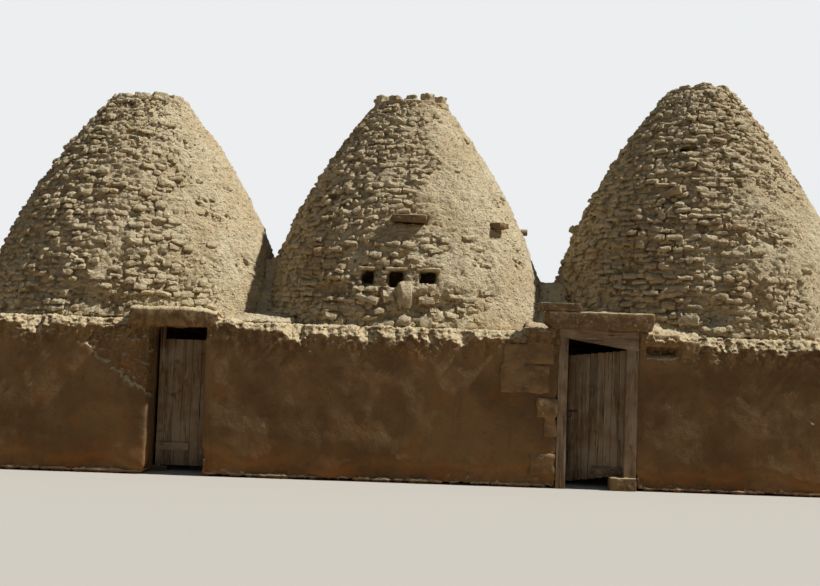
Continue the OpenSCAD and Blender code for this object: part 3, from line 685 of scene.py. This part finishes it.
def makeBlock(length, triangles, place):
    # a worn mud brick at its real size round the origin, with its face at -Y. It takes its lumps
    # from a place of its own.
    block = addCube(Matrix.Diagonal((length, brick["depth"], brickKind["height"], 1)))
    remesh(block, brickKind["voxel"])
    for vertex in block.data.vertices:
        co = vertex.co
        if co.y < 0:
            co.y += brickKind["wornBack"] * max(0, co.z / brickKind["height"] * 2)
    modify(block, "SMOOTH", **brickKind["smoothing"])
    block.data.transform(Matrix.Translation(place))
    pushAll(block, brickKind["pushes"])
    block.data.transform(Matrix.Translation(-place))
    thin(block, triangles)
    return block


def makeBrickKinds(triangles):
    # for each length, a few bricks with lumps of their own
    return {length: [makeBlock(length, triangles, Vector((length * 30, variant * 2, 0)))
                     for variant in range(brickKind["variants"])]
            for length in brickKind["lengths"]}


def setBrick(mesh, dome, turn, height, forwards, tilts, size, length):
    # stands one of the blocks on a dome; tilts: degrees and axis, and length is the block's own
    matrix = (Matrix.Translation(dome["axis"] + Vector((0, 0, height)))
              @ Matrix.Rotation(turn, 4, "Z")
              @ Matrix.Translation((0, forwards, 0)))
    for angle, axis in tilts:
        matrix = matrix @ Matrix.Rotation(math.radians(angle), 4, axis)
    scale = (size[0] / length, size[1] / brick["depth"], size[2] / brickKind["height"], 1)
    mesh.transform(matrix @ Matrix.Diagonal(scale))
    return linkMesh("brick", mesh)


def layBlock(dome, kinds, turn, level, size, proud, tilt):
    # one block bedded in a dome's face; size is its width, depth and height
    length = min(kinds, key=lambda each: abs(each - size[0]))
    mesh = dice.choice(kinds[length]).data.copy()
    forwards = -radiusAt(dome, level) - proud + size[1] / 2
    return setBrick(mesh, dome, turn, dome["foot"] + level, forwards, zip(tilt, "XYZ"), size, length)


def isClear(dome, place, half):
    # True where a vent or a slab leaves no room for a brick
    level = place.z - dome["foot"]
    return place.y < dome["axis"].y and any(
        abs(place.x - dome["axis"].x - x) < width + half and low < level < high
        for x, width, low, high in dome["clear"])


def placeOn(dome, turn, level):
    radius = radiusAt(dome, level)
    return dome["axis"] + Vector((math.sin(turn) * radius, -math.cos(turn) * radius,
                                  dome["foot"] + level))


def brickTilt():
    return [dice.gauss(0, spread) for spread in brick["tilt"]]


def layCourses(dome):
    laid = []
    for row, radius in enumerate(dome["radii"]):
        level = (row + 0.5) * brick["course"]
        turn = dice.uniform(0, brick["firstTurn"])
        while turn < 2 * math.pi:
            length = dice.uniform(*dome["lengths"])
            middle = turn + length / 2 / radius
            turn += (length + brick["gap"]) / radius
            place = placeOn(dome, middle, level)
            chance = dice.uniform(*brick["barer"])
            lost = dice.random() < brick["missing"]
            height = dice.uniform(*brick["height"])
            swollen = noise.noise(place * brick["swellScale"]) * brick["swell"]
            proud = dice.uniform(*brick["proud"]) + swollen
            rise = dice.gauss(0, brick["rise"])
            tilt = brickTilt()
            sunk = hollowness(dome, place)
            proud += juttingAt(dome, middle, level)
            hidden = sunk > brick["sunkMost"] or isClear(dome, place, length / 2)
            if lost or hidden or bareness(dome, place) < chance:
                continue
            size = (length, brick["depth"], height)
            laid.append(layBlock(dome, brickKinds, middle, level + rise, size, proud - sunk, tilt))
    return laid


def layRubble(dome):
    laid = []
    for turn, level, width, height, proud in dome["rubble"]:
        size = (width, brick["depth"], height)
        tilt = brickTilt()
        laid.append(layBlock(dome, brickKinds, math.radians(turn), level, size, proud, tilt))
    return laid


def layClods(dome):
    laid = []
    for _ in range(clod["count"]):
        turn = dice.uniform(0, 2 * math.pi)
        level = dice.uniform(0, dome["top"] - dome["foot"])
        width = dice.uniform(*clod["width"])
        size = (width, clod["depth"], width * dice.uniform(*clod["height"]))
        proud = dice.uniform(*clod["proud"])
        tilt = [dice.uniform(-clod["tilt"], clod["tilt"]) for _ in range(3)]
        place = placeOn(dome, turn, level)
        proud += juttingAt(dome, turn, level)
        if bareness(dome, place) < clod["barer"] or isClear(dome, place, width / 2):
            continue
        laid.append(layBlock(dome, clodKinds, turn, level, size, proud - hollowness(dome, place), tilt))
    return laid


def layBricks(side):
    dome = domes[side]
    laid = layCourses(dome) + layRubble(dome) + layClods(dome)
    piece = joinAll(laid, f"{side}DomeBricks")
    shadeSmooth(piece, brick["sharpAngle"])
    dress(piece, mudBrick)


brickKinds = makeBrickKinds(brickKind["triangles"])
clodKinds = makeBrickKinds(clod["triangles"])
for side in domes:
    measureDome(side)
    makeSkin(side)
    layBricks(side)
    print("stage:", side, "dome")
for kinds in (brickKinds, clodKinds):
    for kind in sum(kinds.values(), []):
        bpy.data.objects.remove(kind)


# Crowns: a broken ring of worn bricks round each smoke hole

crown = {
    "voxel": 0.014,
    "pushes": [(lump, 0.055), (crumb, 0.040)],
    "triangles": 7000,
    "rise": {"left": 1.0, "middle": 1.0, "right": 0.62},   # share of the solid's height
    "flare": {"left": 0.0, "middle": 0.035, "right": 0.0},   # how far the top leans out
}
looseBrick = {
    "count": 17,   # on each crown
    "size": (0.20, 0.17, 0.065),
    "share": (0.75, 1.2),   # of that size
    "shuffle": 0.3,   # share of the spacing
    "seat": (0.25, 0.8),   # how high its middle lies, as a share of its height
    "inset": (0.35, 0.55),   # how far inside the ring its middle lies, as a share of its depth
    "tilt": 13.0, "variants": 5, "triangles": 220, "sharpAngle": 36,
}


def makeCrown(side):
    nodeName = f"{side}_dome_crown"
    piece = copyOfNodes(f"{side}Crown", nodeName)
    low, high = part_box(nodeName)
    for vertex in piece.data.vertices:
        level = vertex.co.z - low.z
        outwards = (vertex.co - domes[side]["axis"]).xy.normalized()
        vertex.co.xy += outwards * crown["flare"][side] * level / (high.z - low.z)
        vertex.co.z = low.z + level * crown["rise"][side]
    wear(piece, crown["voxel"], crown["pushes"], crown["triangles"])
    dress(piece, mudBrick, replaced=[nodeName])


def layLooseBricks(side):
    # flat bricks set on the last course, between and against the upright ones
    dome = domes[side]
    low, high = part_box(f"{side}_dome_crown")
    radius = (high.x - low.x) / 2
    laid = []
    for index in range(looseBrick["count"]):
        shuffled = index + dice.uniform(-looseBrick["shuffle"], looseBrick["shuffle"])
        turn = shuffled * 2 * math.pi / looseBrick["count"]
        size = [each * dice.uniform(*looseBrick["share"]) for each in looseBrick["size"]]
        mesh = dice.choice(looseKinds).data.copy()
        height = low.z + size[2] * dice.uniform(*looseBrick["seat"])
        forwards = -radius + size[1] * dice.uniform(*looseBrick["inset"])
        tilts = [(dice.gauss(0, looseBrick["tilt"]), axis) for axis in "YX"]
        laid.append(setBrick(mesh, dome, turn, height, forwards, tilts, size, looseBrick["size"][0]))
    piece = joinAll(laid, f"{side}CrownBricks")
    shadeSmooth(piece, looseBrick["sharpAngle"])
    dress(piece, mudBrick)


looseKinds = [makeBlock(looseBrick["size"][0], looseBrick["triangles"], Vector((variant * 2, 5, 0)))
              for variant in range(looseBrick["variants"])]
for side in domes:
    makeCrown(side)
    layLooseBricks(side)
for kind in looseKinds:
    bpy.data.objects.remove(kind)
print("stage: crowns")


# Walls and roof deck: one skin of plaster, cut into three bays. It is worn ragged along the top,
# broken beside the left door, and washed out at the foot.

bays = {
    "leftBay": {"from": -9.0, "to": -3.02,
                "nodes": ["front_wall_left", "left_party_wall", "left_roof_deck", "left_lintel",
                          "back_wall"]},
    "middleBay": {"from": -3.02, "to": 2.20,
                  "nodes": ["front_wall_middle", "door_pillar", "middle_roof_deck"]},
    "rightBay": {"from": 2.20, "to": 9.0,
                 "nodes": ["front_wall_right", "right_party_wall", "right_roof_deck"]},
}
wall = {
    "voxel": 0.026,
    "frontDepth": 0.30,   # how far behind its face the front wall is worn
    "shifts": [(-0.028, "broken"), (-0.010, "joint"), (-0.130, "hollow"), (-0.035, "worn")],
    "pushes": [
        (swell, 0.045, "shown"), (lump, 0.018, "shown"), (lump, 0.040, "ragged", hangingNoise),
        (crumb, 0.048, "ragged"), (grit, 0.028, "ragged"), (lump, 0.060, "broken"),
        (crumb, 0.050, "broken"), (grit, 0.024, "broken"), (crag, 0.060, "worn"),
    ],
    "triangles": 42000,
}
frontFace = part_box("front_wall_middle")[0].y
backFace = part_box("back_wall")[1].y
lintelLow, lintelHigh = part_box("left_lintel")
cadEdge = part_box("middle_roof_deck")[0].z + 0.03   # height of the solids' own lit edge
# height of the lit edge along the front wall: x, height. Over the lintels it is the CAD's.
wornEdge = [
    (-5.27, 1.86), (-5.06, 1.83), (-4.90, 1.70), (-4.80, 1.66), (-4.70, 1.78), (-4.46, 1.82),
    (-4.38, 1.78), (-4.15, 1.80), (-3.86, 1.79), (-3.78, 1.74), (-3.66, 1.78), (-2.54, 1.78),
    (-2.42, 1.86), (-2.10, 1.83), (-1.85, 1.84), (-1.70, 1.74), (-1.60, 1.63), (-1.52, 1.62),
    (-1.43, 1.77), (-1.26, 1.82), (-1.15, 1.72), (-1.02, 1.79), (-0.85, 1.77), (-0.66, 1.64),
    (-0.52, 1.79), (-0.40, 1.78), (-0.28, 1.69), (-0.16, 1.78), (0.00, 1.76), (0.10, 1.67),
    (0.20, 1.78), (0.40, 1.76), (0.52, 1.66), (0.66, 1.82), (0.92, 1.84), (1.04, 1.77), (1.27, 1.84),
    (1.33, 1.78), (2.88, 1.78), (2.94, 1.90), (3.24, 1.90), (3.30, 1.84), (3.52, 1.79), (3.76, 1.77),
    (3.83, 1.67), (3.93, 1.77), (4.39, 1.79), (4.49, 1.71), (4.66, 1.76), (4.97, 1.81),
]
# wave and nicks, here and below: waves per metre along X, Y and Z, layer of the noise, and height
edgeWear = {
    "above": 1.5,   # nothing lower is carved
    "slope": 1.25,   # how far the worn edge leans back for each metre up
    "reach": (0.45, 0.05),   # depths behind the face where that lean begins and is full
    "wave": ((3.3, 1, 0), 7.0, 0.07),
    "waveShare": 0.3,   # what is left of the wave along wornEdge
    "even": 1.84,   # wornEdge is drawn towards this height by a share
    "evenShare": 0.40,
    "nicks": ((13, 4, 0), 2.0, 0.045),
}
# mud heaped on the deck's edge beside the lintels: x, y behind the wall's face, reaches, height
heaps = [(-2.48, 0.10, 0.14, 0.30, 0.08), (2.45, 0.62, 0.45, 0.30, 0.32)]
heapsAbove = cadEdge - 0.01
# the left lintel's right end slopes down
lintelEnd = {"from": -2.80, "to": -2.42, "foot": 1.84, "fall": 0.55, "inFrontOf": -1.5}
# the mud bank right of the right lintel leans back
bank = {"from": 2.70, "foot": 1.95, "slope": 1.5, "reach": (0.75, 0.30)}
# the deck's underside is cut away behind each door's head: x, y, height
heads = [((-3.39, -2.68), (-1.72, -0.95), 1.87), ((1.72, 2.72), (-1.93, -0.95), 1.895)]
headsAbove = 1.70
ragged = {
    "above": 1.3,
    "depth": 0.35,
    "band": (0.30, 0.02),   # below the edge: where the plaster begins to crumble and where it is gone
    "wave": ((2.1, 1, 0), 3.0, 0.12),
    "lintelFace": 0.02,   # the lintel's face stays nearly smooth up to a band at its top
    "lintelBand": (0.05, 0.01), "lintelMost": 0.35, "lintelLeast": 0.04,
    "refinedFrom": 0.3,   # faces more ragged than this are halved
}
# plaster broken off beside the left door, to the right of a slanting line from high to low
brokenPlaster = {
    "high": (-4.14, 1.50), "low": (-3.46, 1.04), "right": -3.36, "margin": 0.2,
    "longest": 1.3,   # share of the line that the break runs on to
    "wave": ((0, 0, 9), 0, 0.09), "nicks": ((20, 0, 20), 0, 0.05), "edge": 0.03,
    "top": (1.86, 1.80),
}
# the hollow under the slab right of the right door
wallHollow = {"x": (2.80, 3.22), "z": (1.65, 1.80), "waves": 3.1, "ragged": 0.03, "edge": 0.03}
washedFoot = {
    "below": 0.6, "depth": 0.3, "height": 0.30, "edge": 0.05,
    "share": 0.6, "wave": ((1.3, 1.3, 0), 0, 0.9),   # how much of the height, with a wave on it
}
shownSides = {"depth": 0.25, "overEdge": 0.02}   # what is seen takes the wall's own lumps
# Stones bedded in the front wall's face, beside the right door: x, z, and how far they stand out
wallStones = [
    ((1.31, 1.68), (1.865, 1.980), 0.010),
    ((1.32, 1.66), (1.540, 1.845), 0.010),
    ((1.03, 1.30), (1.515, 1.780), 0.004),
    ((1.00, 1.62), (1.175, 1.510), 0.002),
    ((1.47, 1.72), (0.880, 1.110), 0.022),
    ((1.56, 1.71), (0.640, 0.860), 0.010),
    ((1.40, 1.70), (0.170, 0.420), 0.006),
    ((2.74, 3.22), (1.800, 1.950), 0.024),
    ((3.25, 3.48), (1.665, 1.880), 0.024),
]
stoneJoint = (0.05, 0.02)   # from a stone's outline: where its open joint ends and is full


def ripple(co, waves, layer, height):
    x, y, z = waves
    return noise.noise(Vector((co.x * x, co.y * y, co.z * z + layer))) * height


def isNearFront(co):
    return co.y < frontFace + wall["frontDepth"]


def depthInside(co):
    # metres behind the nearest of the house's four sides
    return min(co.y - frontFace, backFace - co.y, co.x - cadLow.x, cadHigh.x - co.x)


def edgeHeight(co):
    wave = ripple(co, *edgeWear["wave"])
    if co.y > 0 or not wornEdge[0][0] < co.x < wornEdge[-1][0]:
        return cadEdge + wave
    index = next(i for i, point in enumerate(wornEdge) if point[0] > co.x)
    (x0, low), (x1, high) = wornEdge[index - 1], wornEdge[index]
    height = low + (high - low) * (co.x - x0) / (x1 - x0) + wave * edgeWear["waveShare"]
    height += (edgeWear["even"] - height) * edgeWear["evenShare"]
    return height + ripple(co, *edgeWear["nicks"])


def carveEdge(piece):
    for vertex in piece.data.vertices:
        co = vertex.co
        if co.z < edgeWear["above"]:
            continue
        for (x0, x1), (y0, y1), height in heads:
            if x0 < co.x < x1 and y0 < co.y < y1 and headsAbove < co.z < height:
                co.z = height
        onLintelEnd = co.y < lintelEnd["inFrontOf"] and lintelEnd["from"] < co.x < lintelEnd["to"]
        if onLintelEnd and co.z > lintelEnd["foot"]:
            share = smoothStep(lintelEnd["from"], lintelEnd["to"], co.x) * lintelEnd["fall"]
            co.z -= (co.z - lintelEnd["foot"]) * share
        inwards = co.y - frontFace if co.y < 0 else backFace - co.y
        overLintel = co.y < 0 and lintelLow.x < co.x < lintelHigh.x
        reach = 0 if overLintel else smoothStep(*edgeWear["reach"], inwards)
        if co.y < 0 and co.x > bank["from"] and co.z > bank["foot"]:
            co.y += (co.z - bank["foot"]) * bank["slope"] * smoothStep(*bank["reach"], inwards)
        elif reach > 0:
            change = max(0, co.z - edgeHeight(co)) - max(0, co.z - cadEdge)
            co.y += change * edgeWear["slope"] * reach * (1 if co.y < 0 else -1)
        if co.y < 0 and co.z > heapsAbove:
            for x, y, reachX, reachY, rise in heaps:
                co.z += rise * math.exp(-((co.x - x) / reachX) ** 2
                                        - ((co.y - frontFace - y) / reachY) ** 2)


def raggedness(co):
    # 0 on whole plaster, 1 along the crumbled edge
    if min(co.y - frontFace, backFace - co.y) > ragged["depth"] or co.z < ragged["above"]:
        return 0
    onFace = co.y < frontFace + ragged["lintelFace"]
    if onFace and lintelLow.x < co.x < lintelHigh.x and co.z > lintelLow.z:
        low, high = [lintelHigh.z - each for each in ragged["lintelBand"]]
        return smoothStep(low, high, co.z) * ragged["lintelMost"] + ragged["lintelLeast"]
    edge = edgeHeight(co)
    low, high = ragged["band"]
    return smoothStep(edge - low + ripple(co, *ragged["wave"]), edge - high, co.z)


def hollowWeight(co):
    spread = noise.noise(co * wallHollow["waves"]) * wallHollow["ragged"]
    across = min(co.x - wallHollow["x"][0], wallHollow["x"][1] - co.x) + spread
    up = min(co.z - wallHollow["z"][0], wallHollow["z"][1] - co.z) + spread
    return smoothStep(0, wallHollow["edge"], min(across, up)) if isNearFront(co) else 0


def brokenness(co):
    (x0, z0), (x1, z1) = brokenPlaster["high"], brokenPlaster["low"]
    if not isNearFront(co) or not x0 - brokenPlaster["margin"] < co.x < brokenPlaster["right"]:
        return 0
    share = min(max((z0 - co.z) / (z0 - z1), 0.0), brokenPlaster["longest"])
    edge = x0 + (x1 - x0) * share + ripple(co, *brokenPlaster["wave"])
    edge += ripple(co, *brokenPlaster["nicks"])
    return smoothStep(0, brokenPlaster["edge"], co.x - edge) * smoothStep(*brokenPlaster["top"], co.z)


def jointWeight(co):
    # the open joint round each stone bedded in the front wall
    weight = 0.0
    for (x0, x1), (z0, z1), _ in wallStones:
        outside = max(x0 - co.x, co.x - x1, z0 - co.z, co.z - z1)
        weight = max(weight, smoothStep(*stoneJoint, abs(outside)))
    return weight if isNearFront(co) else 0


def footWear(co):
    if co.z > washedFoot["below"] or not depthInside(co) < washedFoot["depth"]:
        return 0
    reach = washedFoot["height"] * (washedFoot["share"] + ripple(co, *washedFoot["wave"]))
    return smoothStep(reach + washedFoot["edge"], reach - washedFoot["edge"], co.z)


def isShown(co):
    return depthInside(co) < shownSides["depth"] or co.z > cadEdge + shownSides["overEdge"]


def refine(piece, chosen):
    # halves the faces whose middle is chosen
    for face in piece.data.polygons:
        face.select = chosen(face.center)
    useOnly(piece)
    bpy.ops.object.mode_set(mode="EDIT")
    bpy.ops.mesh.select_mode(type="FACE")
    bpy.ops.mesh.subdivide(number_cuts=1)
    bpy.ops.object.mode_set(mode="OBJECT")


def makeWalls():
    nodeNames = [name for bay in bays.values() for name in bay["nodes"]]
    piece = copyOfNodes("walls", *nodeNames)
    remesh(piece, wall["voxel"])
    carveEdge(piece)
    refine(piece, lambda co: co.y < 0 and (raggedness(co) > ragged["refinedFrom"] or brokenness(co) > 0))
    weigh(piece, "ragged", raggedness)
    weigh(piece, "broken", brokenness)
    weigh(piece, "joint", jointWeight)
    weigh(piece, "hollow", hollowWeight)
    weigh(piece, "worn", footWear)
    weigh(piece, "shown", lambda co: 1 if isShown(co) else 0)
    for distance, group in wall["shifts"]:
        shift(piece, distance, group)
    pushAll(piece, wall["pushes"])
    for name, bay in bays.items():
        part = linkMesh(name, piece.data.copy())
        useOnly(part)
        bpy.ops.object.mode_set(mode="EDIT")
        for edge, keepOver in ((bay["from"], False), (bay["to"], True)):
            bpy.ops.mesh.select_all(action="SELECT")
            bpy.ops.mesh.bisect(plane_co=(edge, 0, 0), plane_no=(1, 0, 0), clear_inner=not keepOver,
                                clear_outer=keepOver)
        bpy.ops.object.mode_set(mode="OBJECT")
        thin(part, wall["triangles"])
        shadeSmooth(part)
        dress(part, wallPlaster, replaced=bay["nodes"])
    bpy.data.objects.remove(piece)


makeWalls()
print("stage: walls")


# Valleys: mud washed down between the domes

saddle = {"voxel": 0.026, "pushes": [(swell, 0.05), (lump, 0.09), (crumb, 0.04)], "triangles": 8000}


def makeSaddle(side):
    nodeName = f"{side}_valley_saddle"
    piece = copyOfNodes(f"{side}Saddle", nodeName)
    wear(piece, **saddle)
    dress(piece, looseMud, replaced=[nodeName])


for side in ("left", "right"):
    makeSaddle(side)
print("stage: valleys")


# Stones: lintels, slabs and sills. depthKept is the share of its depth that a stone keeps at the back.

stones = {
    "ventLintels": {"node": "vent_lintels", "voxel": 0.012, "lumps": 0.035, "crumbs": 0.022,
                    "depthKept": 0.93, "finish": mudBrick},
    "hoodSlab": {"node": "hood_slab", "voxel": 0.012, "lumps": 0.022, "crumbs": 0.008,
                 "depthKept": 0.68},
    "projectingStone": {"node": "projecting_stone", "voxel": 0.012, "lumps": 0.045, "crumbs": 0.030},
    "rightLintel": {"node": "right_lintel", "voxel": 0.016, "lumps": 0.022, "crumbs": 0.012},
    "cappingSlab": {"node": "capping_slab", "voxel": 0.012, "lumps": 0.020, "crumbs": 0.010},
    "postStone": {"node": "post_stone", "voxel": 0.014, "lumps": 0.030, "crumbs": 0.012},
}
stoneTriangles = 5000


def makeStone(name, stone):
    piece = copyOfNodes(name, stone["node"])
    back = max(vertex.co.y for vertex in piece.data.vertices)
    for vertex in piece.data.vertices:
        vertex.co.y = back - (back - vertex.co.y) * stone.get("depthKept", 1.0)
    pushes = [(lump, stone["lumps"]), (crumb, stone["crumbs"])]
    wear(piece, stone["voxel"], pushes, stoneTriangles)
    dress(piece, stone.get("finish", fieldStone), replaced=[stone["node"]])


for name, stone in stones.items():
    makeStone(name, stone)

beddedStones = {
    "depth": 0.16, "voxel": 0.014, "smoothing": {"factor": 0.6, "iterations": 3},
    "pushes": [(lump, 0.055), (crumb, 0.022)], "triangles": 9000,
}


def makeWallStones():
    depth = beddedStones["depth"]
    laid = []
    for (x0, x1), (z0, z1), proud in wallStones:
        middle = ((x0 + x1) / 2, frontFace - proud + depth / 2, (z0 + z1) / 2)
        laid.append(addCube(Matrix.Translation(middle) @ Matrix.Diagonal((x1 - x0, depth, z1 - z0, 1))))
    piece = joinAll(laid, "wallStones")
    remesh(piece, beddedStones["voxel"])
    modify(piece, "SMOOTH", **beddedStones["smoothing"])
    pushAll(piece, beddedStones["pushes"])
    thin(piece, beddedStones["triangles"])
    shadeSmooth(piece)
    dress(piece, beddedStone)


makeWallStones()
print("stage: stones")


# Timber: door planks, battens, posts and frame, with worn edges

boards = {
    "leftDoorPlanks": {"node": "left_door_planks", "body": "left_door", "wood": uprightWood},
    "leftDoorBattens": {"node": "left_door_battens", "body": "left_door", "wood": lyingWood},
    "leftDoorPost": {"node": "left_door_post", "body": "left_door", "wood": uprightWood},
    "rightDoorPlanks": {"node": "right_door_planks", "body": "right_door", "wood": uprightWood},
    "rightDoorBattens": {"node": "right_door_battens", "body": "right_door", "wood": lyingWood},
    "rightDoorPost": {"node": "right_door_post", "body": "right_door", "wood": uprightWood},
    "frameHead": {"node": "frame_head", "body": "house", "wood": lyingWood},
    "framePosts": {"node": "frame_posts", "body": "house", "wood": uprightWood},
    "projectingLog": {"node": "projecting_log", "body": "house", "wood": lyingWood},
}
boardEdge = {
    "bevel": 0.004, "segments": 2, "cuts": 2, "warp": 0.003, "sharpAngle": 35,
    "bevelledFrom": 40,   # degrees between two faces
}


def makeBoards(name, board):
    piece = copyOfNodes(name, board["node"])
    modify(piece, "BEVEL", width=boardEdge["bevel"], segments=boardEdge["segments"],
           limit_method="ANGLE", angle_limit=math.radians(boardEdge["bevelledFrom"]))
    editAll(piece, bpy.ops.mesh.subdivide, number_cuts=boardEdge["cuts"])
    push(piece, lump, boardEdge["warp"])
    shadeSmooth(piece, boardEdge["sharpAngle"])
    dress(piece, board["wood"], board["body"], [board["node"]])


for name, board in boards.items():
    makeBoards(name, board)
print("stage: timber")


# The CAD's own meshes, where they are hardly seen, take a material and stay as they are

plainNodes = {
    "left_cross_wall": wallPlaster,
    "right_cross_wall": wallPlaster,
    "corner_corbels": fieldStone,
    "socket_stones": fieldStone,
    "right_door_hasp": rustyIron,
}
for nodeName, material in plainNodes.items():
    nodes[nodeName].data.materials.clear()
    nodes[nodeName].data.materials.append(material)


# Floor, light and backdrop

studio = {
    "floorSize": 80.0,
    "floorSeen": paint(190, 184, 172),
    "floorBounce": paint(162, 141, 109),   # what the walls' shaded faces get back from the ground
    "backdrop": paint(236, 238, 240),
    "skyLight": paint(196, 220, 250),
    "fill": 0.17,
    "sun": 4.6,
    "sunFrom": (0.62, -0.025, 0.78),
    "sunAngle": 1.5,   # degrees across
}


def seenDirectly(tree):
    # 1 for the camera's rays, also those that metal mirrors or glass lets through
    rays = addNode(tree, "LightPath", {}).outputs
    share = rays["Is Camera Ray"]
    for name in ("Is Glossy Ray", "Is Transmission Ray"):
        share = addNode(tree, "Math", {0: share, 1: rays[name]}, operation="MAXIMUM").outputs[0]
    return share


def makeStudio(studio):
    bpy.ops.object.select_all(action="DESELECT")
    bpy.ops.mesh.primitive_plane_add(size=studio["floorSize"])
    floor = bpy.context.object
    floor.name = "floor"
    ground = Mixer("floorMatt", studio, "floorBounce", roughness=0.9, specular=0.03)
    ground.tint(seenDirectly(ground.tree), "floorSeen")
    floor.data.materials.append(ground.finish())

    world = bpy.data.worlds.new("studio")
    scene.world = world
    world.use_nodes = True
    tree = world.node_tree
    light = tree.nodes["Background"]
    light.inputs["Color"].default_value = studio["skyLight"]
    light.inputs["Strength"].default_value = studio["fill"]
    backdrop = addNode(tree, "Background", {"Color": studio["backdrop"]})
    seen = {0: seenDirectly(tree), 1: light.outputs[0], 2: backdrop.outputs[0]}
    mixed = addNode(tree, "MixShader", seen)
    tree.links.new(mixed.outputs[0], tree.nodes["World Output"].inputs["Surface"])

    sunData = bpy.data.lights.new("sun", "SUN")
    sunData.energy = studio["sun"]
    sunData.angle = math.radians(studio["sunAngle"])
    sun = bpy.data.objects.new("sun", sunData)
    scene.collection.objects.link(sun)
    sun.rotation_euler = Vector(studio["sunFrom"]).to_track_quat("Z", "Y").to_euler()


makeStudio(studio)
for empty in (plainNoise, flatNoise, hangingNoise):
    bpy.data.objects.remove(empty)
print("stage: studio")
